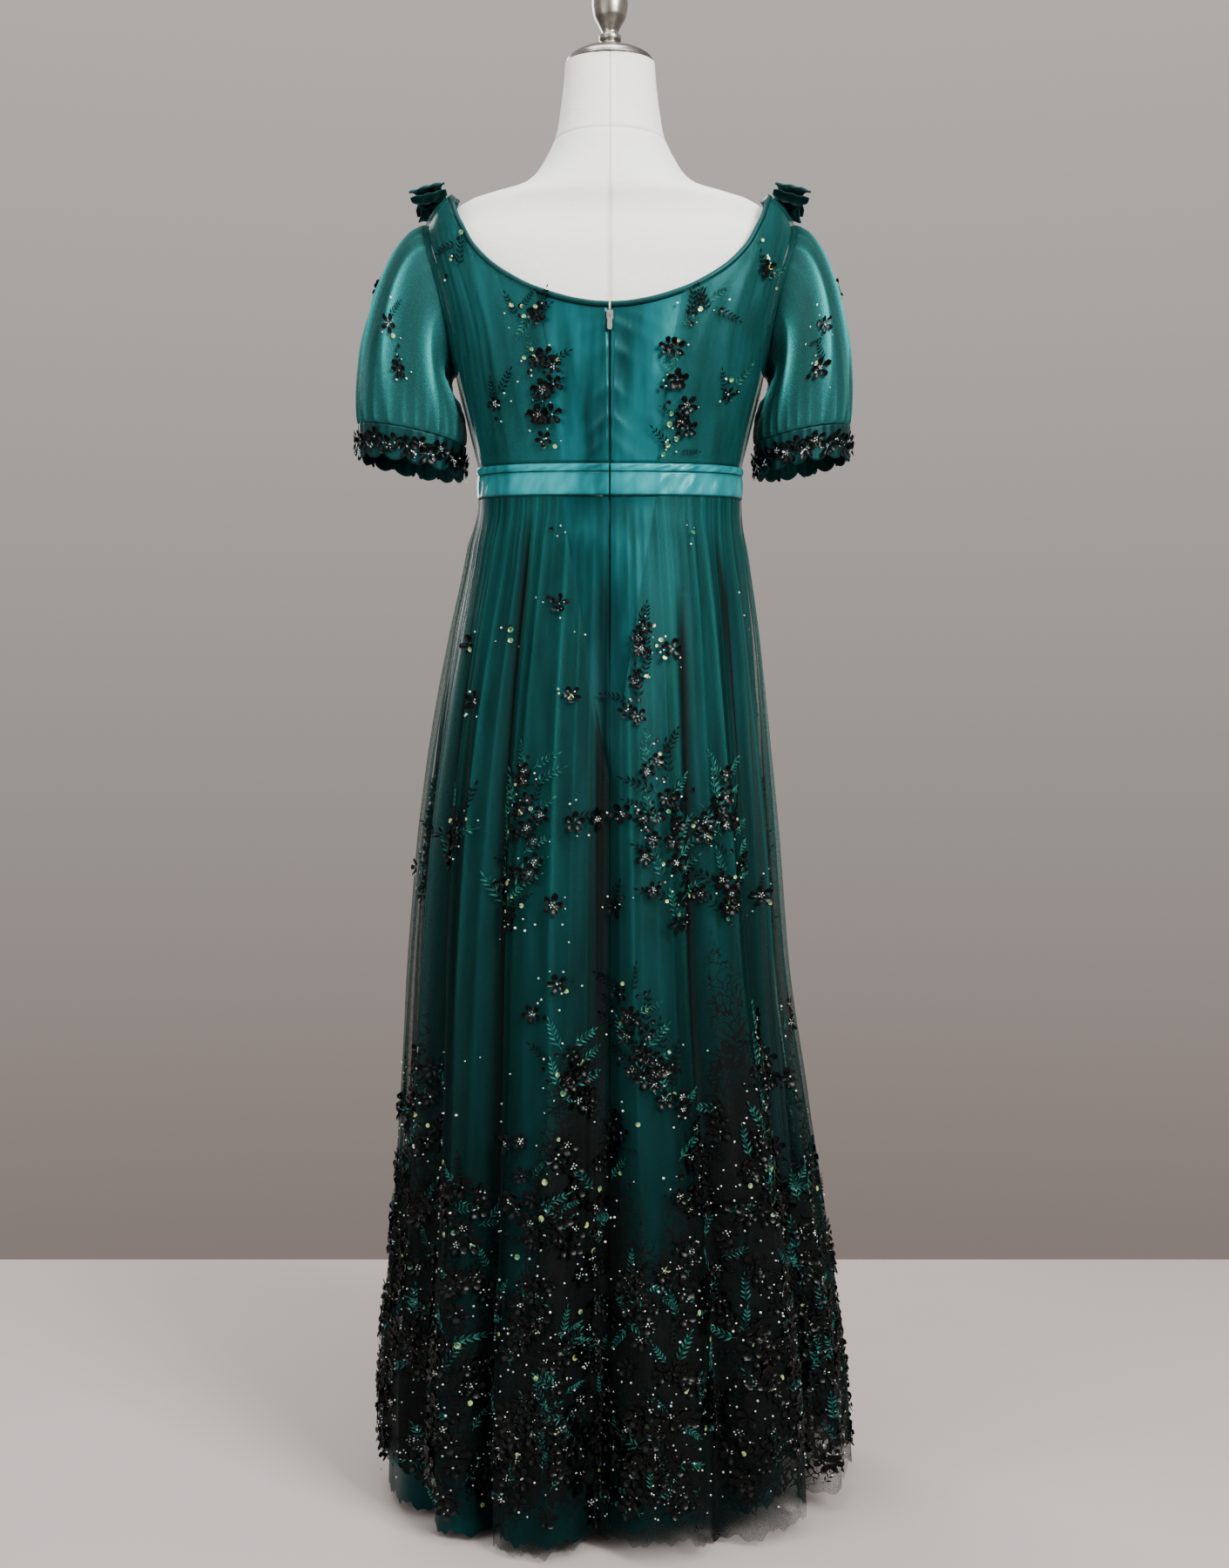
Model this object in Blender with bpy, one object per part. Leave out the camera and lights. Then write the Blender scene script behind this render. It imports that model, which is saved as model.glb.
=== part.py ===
"""A regency gown on a limbless dress form.

Empire-line evening gown: satin bodice and underskirt, a gathered net overdress, short puffed
sleeves with scalloped cuffs, a two-part waistband, ribbon bows on the shoulders and a concealed
centre-back zip.  It hangs on a cloth-covered dress form with a turned finial, a pole and a round
foot.  Metres, +Z up; the gown faces -Y, so its zip is at +Y; the origin is under the foot.

Angles run round the body: 0 is the wearer's left side (+X), 90 centre back, 180 the right side
and 270 centre front.  A swing is an angle from the nearer side towards centre back or front.
"""

import math

import bmesh
import bpy
import numpy as np
from mathutils import Vector

# ---------------------------------------------------------------- driving dimensions
SATIN_WALL = 0.0012
NET_WALL = 0.0010
SEAM_GAP = 0.0004
SATIN_EASE = 0.0034  # from the body shape to the satin's outer face
NET_EASE = 0.0058  # and to the net's
FORM_SLACK = 0.0048  # the form is this much smaller than the shape the gown is cut to
SHOULDER_SLACK = 0.0086  # and by this much more under the straps

SHOULDER_NECK_HEIGHT = 1.4095
SHOULDER_TIP_HEIGHT = 1.3865
ARMHOLE_CENTRE = 1.3040
ARMHOLE_HALF_HEIGHT = 0.0825
ARMHOLE_BACK_SWING = 31.0
ARMHOLE_FRONT_SWING = 36.0
ARMHOLE_STEPS = 8  # from the shoulder to the underarm

WAIST_SEAM_HEIGHT = 1.1170  # the bodice's lower edge at the side
WAIST_SEAM_TILT = 0.0090  # lower by this at centre back, higher at centre front
PIPING_WIDTH = 0.0090
BAND_WIDTH = 0.0255
BAND_WALL = 0.0026
PIPING_WALL = 0.0034

CUFF_HEIGHT = 1.1540
CUFF_CENTRE_Y = -0.004
CUFF_RADIUS_Y = 0.0580
CUFF_TILT = math.radians(11.0)  # the cuff's plane rises towards the outside of the arm
CUFF_WIDTH = 0.037
CUFF_WALL = 0.0026
CUFF_SCALLOPS = 14
CUFF_SCALLOP_DEPTH = 0.007

BINDING_WIDTH = 0.0050
BINDING_WALL = 0.0036

RIBBON_WIDTH = 0.040
RIBBON_WALL = 0.0016

ZIP_TOP = 1.2650
ZIP_END = 0.870
ZIP_HALF_GAP = 0.0009
ZIP_CHAIN_WIDTH = 0.0060

SLIT_HALF_WIDTH = 0.035  # the net overskirt's opening over the zip, at the waistband
SLIT_END = 0.775

POLE_RADIUS = 0.016
FOOT_RADIUS = 0.150
FOOT_HEIGHT = 0.022


# ---------------------------------------------------------------- tables
def table(columns, *rows):
    """A table as {column name: list of its values}."""
    return {name: [row[i] for row in rows] for i, name in enumerate(columns)}


BODY = table(
    ("height", "half_width", "back", "front", "squareness"),
    (1.568, 0.0545, 0.043, 0.061, 2.0),
    (1.545, 0.0563, 0.047, 0.063, 2.0),
    (1.515, 0.0600, 0.052, 0.065, 2.0),
    (1.490, 0.0640, 0.058, 0.067, 2.0),
    (1.472, 0.0710, 0.064, 0.069, 2.0),
    (1.458, 0.0785, 0.068, 0.071, 2.0),
    (1.443, 0.0880, 0.073, 0.075, 2.1),
    (1.430, 0.1040, 0.078, 0.079, 2.2),
    (1.421, 0.1280, 0.082, 0.083, 2.4),
    (1.4145, 0.1560, 0.085, 0.087, 2.6),
    (1.408, 0.1730, 0.088, 0.090, 2.7),
    (1.398, 0.1860, 0.090, 0.093, 2.8),
    (1.386, 0.1945, 0.092, 0.095, 2.9),
    (1.368, 0.1990, 0.094, 0.098, 3.0),
    (1.330, 0.1950, 0.098, 0.104, 3.1),
    (1.290, 0.1860, 0.101, 0.113, 3.0),
    (1.250, 0.1730, 0.102, 0.126, 2.8),
    (1.205, 0.1600, 0.100, 0.139, 2.6),
    (1.160, 0.1490, 0.095, 0.132, 2.4),
    (1.110, 0.1395, 0.089, 0.110, 2.3),
    (1.050, 0.1300, 0.085, 0.099, 2.2),
    (0.990, 0.1230, 0.083, 0.093, 2.2),
    (0.930, 0.1320, 0.093, 0.093, 2.2),
    (0.860, 0.1460, 0.105, 0.096, 2.2),
    (0.800, 0.1500, 0.109, 0.097, 2.2),
    (0.775, 0.1440, 0.104, 0.093, 2.2),
)

# The skirt's outline over its ridges; "left" is the wearer's.
SKIRT = table(
    ("height", "left", "right", "back", "front"),
    (1.090, 0.1455, 0.1450, 0.0965, 0.1130),
    (1.072, 0.1490, 0.1460, 0.1000, 0.1160),
    (1.008, 0.1600, 0.1550, 0.1130, 0.1230),
    (0.941, 0.1740, 0.1640, 0.1300, 0.1340),
    (0.863, 0.1890, 0.1710, 0.1500, 0.1470),
    (0.785, 0.2015, 0.1775, 0.1680, 0.1600),
    (0.700, 0.2120, 0.1850, 0.1850, 0.1730),
    (0.572, 0.2230, 0.1950, 0.2050, 0.1900),
    (0.427, 0.2310, 0.2170, 0.2250, 0.2080),
    (0.281, 0.2410, 0.2400, 0.2420, 0.2250),
    (0.136, 0.2540, 0.2600, 0.2560, 0.2400),
    (0.000, 0.2560, 0.2700, 0.2620, 0.2500),
)

# Each row is a ridge and the valley after it, in degrees at the waist and at the hem, with how
# deep that valley is at the hem and the height where it starts.
FOLDS = table(
    ("ridge_top", "ridge_hem", "valley_top", "valley_hem", "depth", "start"),
    (20.0, 22.0, 33.0, 38.0, 0.030, 0.95),
    (42.0, 48.0, 55.0, 58.0, 0.040, 1.06),
    (70.0, 70.0, 88.0, 87.0, 0.046, 1.02),
    (103.0, 103.0, 119.0, 117.0, 0.040, 0.98),
    (128.0, 132.0, 140.0, 147.0, 0.036, 1.05),
    (152.0, 158.0, 165.0, 170.0, 0.024, 0.90),
    (178.0, 182.0, 190.0, 196.0, 0.026, 0.80),
    (203.0, 209.0, 215.0, 222.0, 0.034, 0.98),
    (229.0, 234.0, 243.0, 247.0, 0.030, 0.92),
    (257.0, 260.0, 271.0, 274.0, 0.036, 1.00),
    (284.0, 287.0, 298.0, 301.0, 0.028, 0.88),
    (311.0, 314.0, 324.0, 328.0, 0.037, 1.02),
    (337.0, 341.0, 350.0, 355.0, 0.030, 0.94),
)

# Heights of the two hems above the floor.
HEMS = table(
    ("angle", "net", "satin"),
    (0.0, 0.046, 0.012),
    (24.0, 0.052, 0.011),
    (48.0, 0.036, 0.008),
    (68.0, 0.005, 0.012),
    (88.0, 0.016, 0.020),
    (103.0, 0.022, 0.036),
    (118.0, 0.006, 0.030),
    (134.0, 0.018, 0.032),
    (150.0, 0.022, 0.052),
    (168.0, 0.040, 0.060),
    (195.0, 0.026, 0.030),
    (225.0, 0.018, 0.016),
    (270.0, 0.012, 0.012),
    (315.0, 0.020, 0.014),
    (360.0, 0.046, 0.012),
)

# The right sleeve hangs closer than the left.
CUFFS = table(
    ("side", "sign", "centre_x", "radius_x"),
    ("left", 1.0, 0.2210, 0.0605),
    ("right", -1.0, 0.2140, 0.0535),
)

# How far down from the waistband the rows of the skirts' meshes lie.
SKIRT_LEVELS = (0.0, 0.028, 0.085, 0.185, 0.330, 0.530, 0.760, 1.0)

NECK_BACK = table(
    ("swing", "height"),
    (90.0, 1.2720),
    (86.0, 1.2724),
    (78.0, 1.2762),
    (66.0, 1.2895),
    (56.0, 1.3115),
    (48.5, 1.3400),
    (43.5, 1.3690),
    (36.5, 1.3910),
    (20.0, 1.4050),
    (0.0, SHOULDER_NECK_HEIGHT),
)

NECK_FRONT = table(
    ("swing", "height"),
    (90.0, 1.2520),
    (84.0, 1.2525),
    (72.0, 1.2585),
    (62.0, 1.2720),
    (54.0, 1.2950),
    (48.5, 1.3260),
    (43.5, 1.3590),
    (36.5, 1.3860),
    (20.0, 1.4040),
    (0.0, SHOULDER_NECK_HEIGHT),
)

FINIAL = table(
    ("height", "radius"),
    (1.5690, 0.0500),
    (1.5735, 0.0490),
    (1.5810, 0.0400),
    (1.5860, 0.0250),
    (1.5890, 0.0130),
    (1.5950, 0.0095),
    (1.5980, 0.0125),
    (1.6020, 0.0125),
    (1.6050, 0.0088),
    (1.6130, 0.0120),
    (1.6250, 0.0180),
    (1.6390, 0.0200),
    (1.6510, 0.0190),
    (1.6590, 0.0130),
    (1.6640, 0.0120),
    (1.6710, 0.0150),
    (1.6800, 0.0135),
    (1.6860, 0.0070),
)


def curve(rows, key, column, at):
    """A table's column read at a key, on a cubic through the rows that never overshoots."""
    keys, values = rows[key], rows[column]
    if keys[0] > keys[-1]:
        keys, values = keys[::-1], values[::-1]
    at = min(max(at, keys[0]), keys[-1])
    i = max(j for j in range(len(keys) - 1) if keys[j] <= at)

    def slope(j):
        return (values[j + 1] - values[j]) / (keys[j + 1] - keys[j])

    def tangent(j):
        if j in (0, len(keys) - 1):
            return slope(min(j, len(keys) - 2))
        before, after = slope(j - 1), slope(j)
        return 0.0 if before * after <= 0 else 2 * before * after / (before + after)

    span = keys[i + 1] - keys[i]
    t = (at - keys[i]) / span
    return (
        (2 * t**3 - 3 * t**2 + 1) * values[i]
        + (t**3 - 2 * t**2 + t) * span * tangent(i)
        + (3 * t**2 - 2 * t**3) * values[i + 1]
        + (t**3 - t**2) * span * tangent(i + 1)
    )


def within(value, low=0.0, high=1.0):
    return min(max(value, low), high)


def eased_in(share):
    share = within(share)
    return share * share * (3 - 2 * share)


# ---------------------------------------------------------------- surfaces
def squircle(angle, squareness):
    """Unit outline point at an angle in degrees; squareness 2 is a circle."""
    c, s = math.cos(math.radians(angle)), math.sin(math.radians(angle))
    k = (abs(c) ** squareness + abs(s) ** squareness) ** (-1.0 / squareness)
    return k * c, k * s


def body(angle, height):
    """The shape the gown is cut to, with a soft bust at the front."""
    width, back, front, squareness = (
        curve(BODY, "height", name, height)
        for name in ("half_width", "back", "front", "squareness")
    )
    x, y = squircle(angle, squareness)
    bust = 0.0
    if y < 0:
        side = (abs(math.degrees(math.asin(within(x, -1.0, 1.0)))) - 30.0) / 24.0
        bust = 0.012 * math.exp(-side * side - ((height - 1.198) / 0.045) ** 2)
    return Vector((width * x, (back if y > 0 else front + bust) * y, height))


def normal_of(surface, angle, height):
    """Unit normal of a surface round the body, by central differences."""
    across = surface(angle + 0.5, height) - surface(angle - 0.5, height)
    along = surface(angle, height + 0.002) - surface(angle, height - 0.002)
    return across.cross(along).normalized()


def on_body(angle, height, ease):
    """A point at an ease over the body; near the waist seam it keeps its height."""
    moved = body(angle, height) + ease * normal_of(body, angle, height)
    moved.z += (height - moved.z) * (1.0 - eased_in((height - waist_seam(angle)) / 0.05))
    return moved


def waist_seam(angle):
    return WAIST_SEAM_HEIGHT - WAIST_SEAM_TILT * math.sin(math.radians(angle))


def on_band(angle, height, ease):
    """A point at an ease over the body's outline at the waist seam, carried straight down."""
    level = waist_seam(angle)
    normal = normal_of(body, angle, level)
    normal.z = 0.0
    moved = body(angle, level) + ease * normal.normalized()
    return Vector((moved.x, moved.y, height))


def skirt_top(angle):
    return waist_seam(angle) - PIPING_WIDTH - BAND_WIDTH - SEAM_GAP


def fold_angles(height):
    """The angles of the ridges and of the valleys after them, at a height."""
    drop = within((1.075 - height) / 1.075)
    share = drop * (2.0 - drop)
    return [
        [top + (hem - top) * share for top, hem in zip(FOLDS[kind + "_top"], FOLDS[kind + "_hem"])]
        for kind in ("ridge", "valley")
    ]


def fold_depth(angle, height):
    """How far the cloth lies inside the ridges' outline: nothing on a ridge."""
    ridges, valleys = fold_angles(height)
    angle = (angle - ridges[0]) % 360.0 + ridges[0]
    i = max(j for j in range(len(ridges)) if ridges[j] <= angle)
    valley, following = valleys[i], ridges[i + 1] if i + 1 < len(ridges) else ridges[0] + 360.0
    ridge = ridges[i] if angle <= valley else following
    away = (angle - ridge) / (valley - ridge)
    grown = within(1.0 - height / FOLDS["start"][i]) ** 0.8
    return FOLDS["depth"][i] * grown * math.sin(math.pi / 2 * away**1.6) ** 2


def fold_marks(height):
    """The angles of ridges, valleys and the steps between them, from the first ridge round."""
    ridges, valleys = fold_angles(height)
    marks = []
    for i, (ridge, valley) in enumerate(zip(ridges, valleys)):
        following = ridges[i + 1] if i + 1 < len(ridges) else ridges[0] + 360.0
        marks += [ridge, ridge + 0.6 * (valley - ridge), valley]
        marks += [following + 0.6 * (valley - following)]
    return marks


def skirt_outline(angle, height):
    left, right, back, front = (
        curve(SKIRT, "height", name, height) for name in ("left", "right", "back", "front")
    )
    x, y = squircle(angle, 2.1)
    return Vector((x * (left if x > 0 else right), y * (back if y > 0 else front), height))


def skirt(angle, height, inset, follow, ease):
    """A skirt surface: it leaves the band's outline and opens into the folds."""
    outline = skirt_outline(angle, height)
    reach = math.hypot(outline.x, outline.y)
    share = 1.0 - (fold_depth(angle, height) * follow + inset) / reach
    opened = Vector((outline.x * share, outline.y * share, height))
    return on_band(angle, height, ease).lerp(opened, eased_in((skirt_top(angle) - height) / 0.055))


def net_skirt(angle, height):
    return skirt(angle, height, 0.0, 1.0, NET_EASE)


def satin_skirt(angle, height):
    """The underskirt lies inside the net, and stands further in at the right side."""
    drop = within((1.072 - height) / 1.072)
    lean = max(0.0, math.cos(math.radians(angle - 172.0))) ** 3
    inset = 0.0030 + 0.0065 * min(1.0, drop * 4.0) + 0.034 * lean * within((0.62 - height) / 0.5)
    return skirt(angle, height, inset, 0.9, SATIN_EASE)


def armhole(swing, turn, inside=0.0):
    """(angle, height) on the armhole: turn 0 at the shoulder, 180 under the arm.  Inside is
    how far within the armhole the point lies."""
    t = math.radians(turn)
    share = 1.0 - inside / ARMHOLE_HALF_HEIGHT
    return share * swing * math.sin(t), ARMHOLE_CENTRE + share * ARMHOLE_HALF_HEIGHT * math.cos(t)


# ---------------------------------------------------------------- mesh making
def new_object(name, points, faces, material):
    mesh = bpy.data.meshes.new(name)
    mesh.from_pydata([tuple(p) for p in points], [], faces)
    shape = bmesh.new()
    shape.from_mesh(mesh)
    bmesh.ops.recalc_face_normals(shape, faces=shape.faces)
    shape.to_mesh(mesh)
    shape.free()
    mesh.shade_smooth()
    mesh.set_sharp_from_angle(angle=math.radians(50.0))
    mesh.materials.append(material)
    made = bpy.data.objects.new(name, mesh)
    bpy.context.scene.collection.objects.link(made)
    return made


def wall(name, outer, inner, material, ring=False):
    """A closed thin solid between two grids of points, rows by columns.  A ring joins up."""
    rows, columns = len(outer), len(outer[0])
    points = [p for grid in (outer, inner) for row in grid for p in row]
    spans = columns if ring else columns - 1

    def at(side, r, c):
        return (side * rows + r) * columns + c % columns

    faces = []
    for r in range(rows - 1):
        for c in range(spans):
            for side in (0, 1):
                low, high = (at(side, r, c), at(side, r, c + 1)), (at(side, r + 1, c), at(side, r + 1, c + 1))
                faces += [(low[0], low[1], high[1]), (low[0], high[1], high[0])]
    for c in range(spans):
        for r in (0, rows - 1):
            faces.append((at(0, r, c), at(0, r, c + 1), at(1, r, c + 1), at(1, r, c)))
    if not ring:
        for r in range(rows - 1):
            for c in (0, columns - 1):
                faces.append((at(0, r, c), at(0, r + 1, c), at(1, r + 1, c), at(1, r, c)))
    return new_object(name, points, faces, material)


def stacked(name, rings, material):
    """A solid through rings of points, closed by a flat face at each end."""
    count = len(rings[0])
    faces = [tuple(range(count)), tuple((len(rings) - 1) * count + c for c in range(count))]
    for j in range(len(rings) - 1):
        for c in range(count):
            d = (c + 1) % count
            faces.append((j * count + c, j * count + d, (j + 1) * count + d, (j + 1) * count + c))
    return new_object(name, [p for ring in rings for p in ring], faces, material)


def turned(name, profile, material, segments=28, centre_y=0.0):
    """A solid turned about an upright axis from (radius, height) points."""
    turns = [2 * math.pi * c / segments for c in range(segments)]
    rings = [
        [Vector((r * math.cos(t), centre_y + r * math.sin(t), z)) for t in turns]
        for r, z in profile
    ]
    return stacked(name, rings, material)


def material(name, colour, roughness, metallic=0.0):
    made = bpy.data.materials.new(name)
    made.use_nodes = True
    shader = made.node_tree.nodes["Principled BSDF"]
    shader.inputs["Base Color"].default_value = (*colour, 1.0)
    shader.inputs["Roughness"].default_value = roughness
    shader.inputs["Metallic"].default_value = metallic
    made.diffuse_color = (*colour, 1.0)
    return made


# ---------------------------------------------------------------- bodice
def quarter_angle(quarter, swing):
    """The angle round the body for a swing: 0 at the side, 90 at the centre."""
    return {
        "back_left": swing,
        "back_right": 180.0 - swing,
        "front_left": 360.0 - swing,
        "front_right": 180.0 + swing,
    }[quarter]


def centre_swing(quarter, height):
    """The swing of a quarter's centre edge, which stops short of the zip at the back."""
    if quarter.startswith("front"):
        return 90.0
    return 90.0 - math.degrees(ZIP_HALF_GAP / body(0.0, height).x)


def neckline(quarter, shares):
    """(swing, height) at shares of the neckline's length, from the centre to the shoulder."""
    rows = NECK_BACK if quarter.startswith("back") else NECK_FRONT
    first = centre_swing(quarter, rows["height"][0])
    path = [(first * (1 - k / 90), curve(rows, "swing", "height", first * (1 - k / 90))) for k in range(91)]
    spots = [body(quarter_angle(quarter, a), z) for a, z in path]
    lengths = [0.0]
    for before, after in zip(spots, spots[1:]):
        lengths.append(lengths[-1] + (after - before).length)
    found = []
    for share in shares:
        target = share * lengths[-1]
        i = min(max(j for j in range(91) if lengths[j] <= target + 1e-9), 89)
        t = (target - lengths[i]) / (lengths[i + 1] - lengths[i])
        found.append(tuple(path[i][k] + (path[i + 1][k] - path[i][k]) * t for k in (0, 1)))
    return found


NECK_SHARE = 0.86  # of a bodice quarter's top that is neckline; the rest is shoulder seam
NECK_STEPS = (0.0, 0.135, 0.270, 0.400, 0.530, 0.650, 0.770, 0.890, 1.0)
NET_STARTS_AT = 2  # the step where the back's net begins
SEAM_SHARE = 0.32  # of its outer side that is side seam; the rest is armhole
SEAM_STEPS = 2
SWING_LENGTH = 0.0026  # metres of cloth to a degree of swing, roughly


def relaxed(rows, held):
    """Rows of (swing, height) spread evenly between their edges by Winslow's equations, so that
    the cloth never doubles back round the armhole.  The held column stays as it is."""
    grid = np.array(rows) * (SWING_LENGTH, 1.0)
    kept = grid[:, held].copy()
    for _ in range(400):
        across = (grid[1:-1, 2:] - grid[1:-1, :-2]) / 2
        along = (grid[2:, 1:-1] - grid[:-2, 1:-1]) / 2
        twist = (grid[2:, 2:] - grid[2:, :-2] - grid[:-2, 2:] + grid[:-2, :-2]) / 4
        a, b, c = (
            (first * second).sum(axis=2, keepdims=True)
            for first, second in ((along, along), (across, along), (across, across))
        )
        sides = a * (grid[1:-1, 2:] + grid[1:-1, :-2]) + c * (grid[2:, 1:-1] + grid[:-2, 1:-1])
        grid[1:-1, 1:-1] = (sides - 2 * b * twist) / (2 * (a + c))
        grid[:, held] = kept
    return (grid / (SWING_LENGTH, 1.0)).tolist()


def bodice_patch(quarter):
    """Rows of (angle, height) over a quarter of the bodice, from the waist seam up.

    Its edges are the centre, the waist seam, the side seam with the armhole, and the neckline
    with the shoulder seam; the points between are blended from all four, then relaxed.
    """
    swing = ARMHOLE_BACK_SWING if quarter.startswith("back") else ARMHOLE_FRONT_SWING
    across = [NECK_SHARE * share for share in NECK_STEPS] + [1.0]
    up = [SEAM_SHARE * k / SEAM_STEPS for k in range(SEAM_STEPS)]
    up += [SEAM_SHARE + (1 - SEAM_SHARE) * k / ARMHOLE_STEPS for k in range(ARMHOLE_STEPS + 1)]
    top = neckline(quarter, NECK_STEPS) + [(0.0, SHOULDER_TIP_HEIGHT)]
    underarm = ARMHOLE_CENTRE - ARMHOLE_HALF_HEIGHT

    def hem(swing_in):
        return swing_in, waist_seam(quarter_angle(quarter, swing_in)) + SEAM_GAP

    def centre(v):
        height = hem(90.0)[1] * (1 - v) + top[0][1] * v
        return centre_swing(quarter, height), height

    def side(v):
        if v <= SEAM_SHARE:
            return 0.0, hem(0.0)[1] + (underarm - hem(0.0)[1]) * v / SEAM_SHARE
        return armhole(swing, 180.0 * (1 - (v - SEAM_SHARE) / (1 - SEAM_SHARE)))

    rows = []
    for v in up:
        row = []
        for u, above in zip(across, top):
            below = hem(centre(0.0)[0] * (1 - u))
            pull = u**3.8  # so the columns near the centre run nearly straight up
            spot = []
            for k in (0, 1):
                ends = [(1 - pull) * centre(end)[k] + pull * side(end)[k] for end in (0.0, 1.0)]
                along = (1 - pull) * centre(v)[k] + pull * side(v)[k]
                spot.append((1 - v) * (below[k] - ends[0]) + v * (above[k] - ends[1]) + along)
            row.append(spot)
        rows.append(row)
    spread = relaxed(rows, NET_STARTS_AT)
    return [[(quarter_angle(quarter, swing), height) for swing, height in row] for row in spread]


BACKWARDS, FORWARDS = Vector((0, SEAM_GAP / 2, 0)), Vector((0, -SEAM_GAP / 2, 0))


def over_body(patch, ease, thickness, apart):
    """Outer and inner grids over a patch, moved off the front or back by half a seam gap."""
    return [
        [[on_body(angle, height, out) + apart for angle, height in row] for row in patch]
        for out in (ease, ease - thickness)
    ]


def build_bodice(satin, net):
    for side in ("left", "right"):
        patch = bodice_patch("back_" + side)
        covered = [row[NET_STARTS_AT:] for row in patch]
        under = over_body(patch, SATIN_EASE, SATIN_WALL, BACKWARDS)
        wall("bodice_back_" + side, *under, satin)
        over = over_body(covered, NET_EASE, NET_WALL, BACKWARDS)
        wall("net_bodice_back_" + side, *over, net)
    left, right = bodice_patch("front_left"), bodice_patch("front_right")
    patch = [a[::-1] + b[1:] for a, b in zip(left, right)]
    wall("bodice_front", *over_body(patch, SATIN_EASE, SATIN_WALL, FORWARDS), satin)
    wall("net_bodice_front", *over_body(patch, NET_EASE, NET_WALL, FORWARDS), net)


def build_binding(cloth):
    """The bound neck edge: a narrow strip standing on the bodice's top edges."""
    back_left, back_right, front_left, front_right = (
        [(quarter_angle(q, a), z) for a, z in neckline(q, NECK_STEPS)]
        for q in ("back_left", "back_right", "front_left", "front_right")
    )
    for name, path, apart in (
        ("neck_binding_back_left", back_left, BACKWARDS),
        ("neck_binding_back_right", back_right, BACKWARDS),
        ("neck_binding_front", front_left[::-1] + front_right[1:], FORWARDS),
    ):
        spots = [on_body(a, z, NET_EASE) for a, z in path]
        outer, inner = ([], []), ([], [])
        for i, (angle, height) in enumerate(path):
            after = (spots[min(i + 1, len(path) - 1)] - spots[i]).normalized()
            before = (spots[i] - spots[max(i - 1, 0)]).normalized()
            normal = normal_of(body, angle, height)
            up = normal.cross(after + before)
            if angle in (0.0, 180.0, 360.0):
                up.y = normal.y = 0.0
            elif i == 0:
                up.x = 0.0
            up = up.normalized() * math.copysign(1.0, up.z - 0.8 * up.x * math.copysign(1, spots[i].x))
            middle = on_body(angle, height, NET_EASE + 0.0003 - BINDING_WALL / 2) + apart
            for k, (rise, half) in enumerate(((3 * SEAM_GAP, 1.0), (BINDING_WIDTH, 0.75))):
                outer[k].append(middle + up * rise + normal * half * BINDING_WALL / 2)
                inner[k].append(middle + up * rise - normal * half * BINDING_WALL / 2)
        wall(name, outer, inner, cloth)


def build_waistband(cloth):
    """Piping over a band, each in a front and two backs that meet at the sides and the zip."""
    at_zip, at_side = math.degrees(ZIP_HALF_GAP / 0.140), math.degrees(SEAM_GAP / 2 / 0.110)
    spans = (
        ("back_left", at_side, 90.0 - at_zip, 9),
        ("back_right", 90.0 + at_zip, 180.0 - at_side, 9),
        ("front", 180.0 + at_side, 360.0 - at_side, 17),
    )
    strips = (
        ("waist_piping", 0.0, PIPING_WIDTH, NET_EASE + 0.0012, PIPING_WALL),
        ("waistband", PIPING_WIDTH, PIPING_WIDTH + BAND_WIDTH, NET_EASE + 0.0004, BAND_WALL),
    )
    for prefix, top, bottom, ease, thickness in strips:
        for name, start, end, columns in spans:
            angles = [start + (end - start) * c / (columns - 1) for c in range(columns)]
            grids = [
                [[on_band(a, waist_seam(a) - drop, out) for a in angles] for drop in (bottom, top + SEAM_GAP)]
                for out in (ease, ease - thickness)
            ]
            wall(f"{prefix}_{name}", *grids, cloth)


# ---------------------------------------------------------------- skirts
SQUEEZE_REACH = 24.0  # degrees either side of centre back that make room for the slit


def half_opening(height, slit):
    """Half the width left open at centre back: the net's slit, or the satin's zip and seam."""
    if slit:
        return SLIT_HALF_WIDTH * within((height - SLIT_END) / (1.067 - SLIT_END)) ** 0.8 + SEAM_GAP
    return SEAM_GAP / 2 + (ZIP_HALF_GAP - SEAM_GAP / 2) * within((height - ZIP_END) / 0.05)


def skirt_panel(start, end, level, hem, extra):
    """(angle, height) along one row of a panel.  The columns keep to the folds and clear the
    slit; extra puts one more column beside centre back, for the cloth under the slit."""
    blend = level * (2.0 - level)
    angles = [start]
    for lap in (0.0, 360.0):
        for top, low in zip(fold_marks(1.072), fold_marks(0.0)):
            top, low = top + lap, low + lap
            if start + 3.0 < top < end - 3.0 and start + 2.0 < low < end - 2.0:
                angles.append(top + (low - top) * blend)
    angles.append(end)
    row = []
    for angle in angles:
        top = skirt_top(angle)
        height = top + (curve(HEMS, "angle", hem, angle) - top) * level
        away = abs(angle - 90.0)
        if away < SQUEEZE_REACH and start < 180.0:
            edge = math.degrees(half_opening(height, True) / skirt_outline(90.0, height).y)
            edge = max(edge, 2.5) if extra else edge
            side = 1.0 if start == 90.0 else -1.0
            angle = 90.0 + side * (edge + away * (SQUEEZE_REACH - edge) / SQUEEZE_REACH)
        row.append((angle, height))
    if extra and start < 180.0:
        middle = row[0] if start == 90.0 else row[-1]
        edge = math.degrees(half_opening(middle[1], False) / skirt_outline(90.0, middle[1]).y)
        spot = (90.0 + (edge if start == 90.0 else -edge), middle[1])
        row = [spot] + row if start == 90.0 else row + [spot]
    return row


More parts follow.
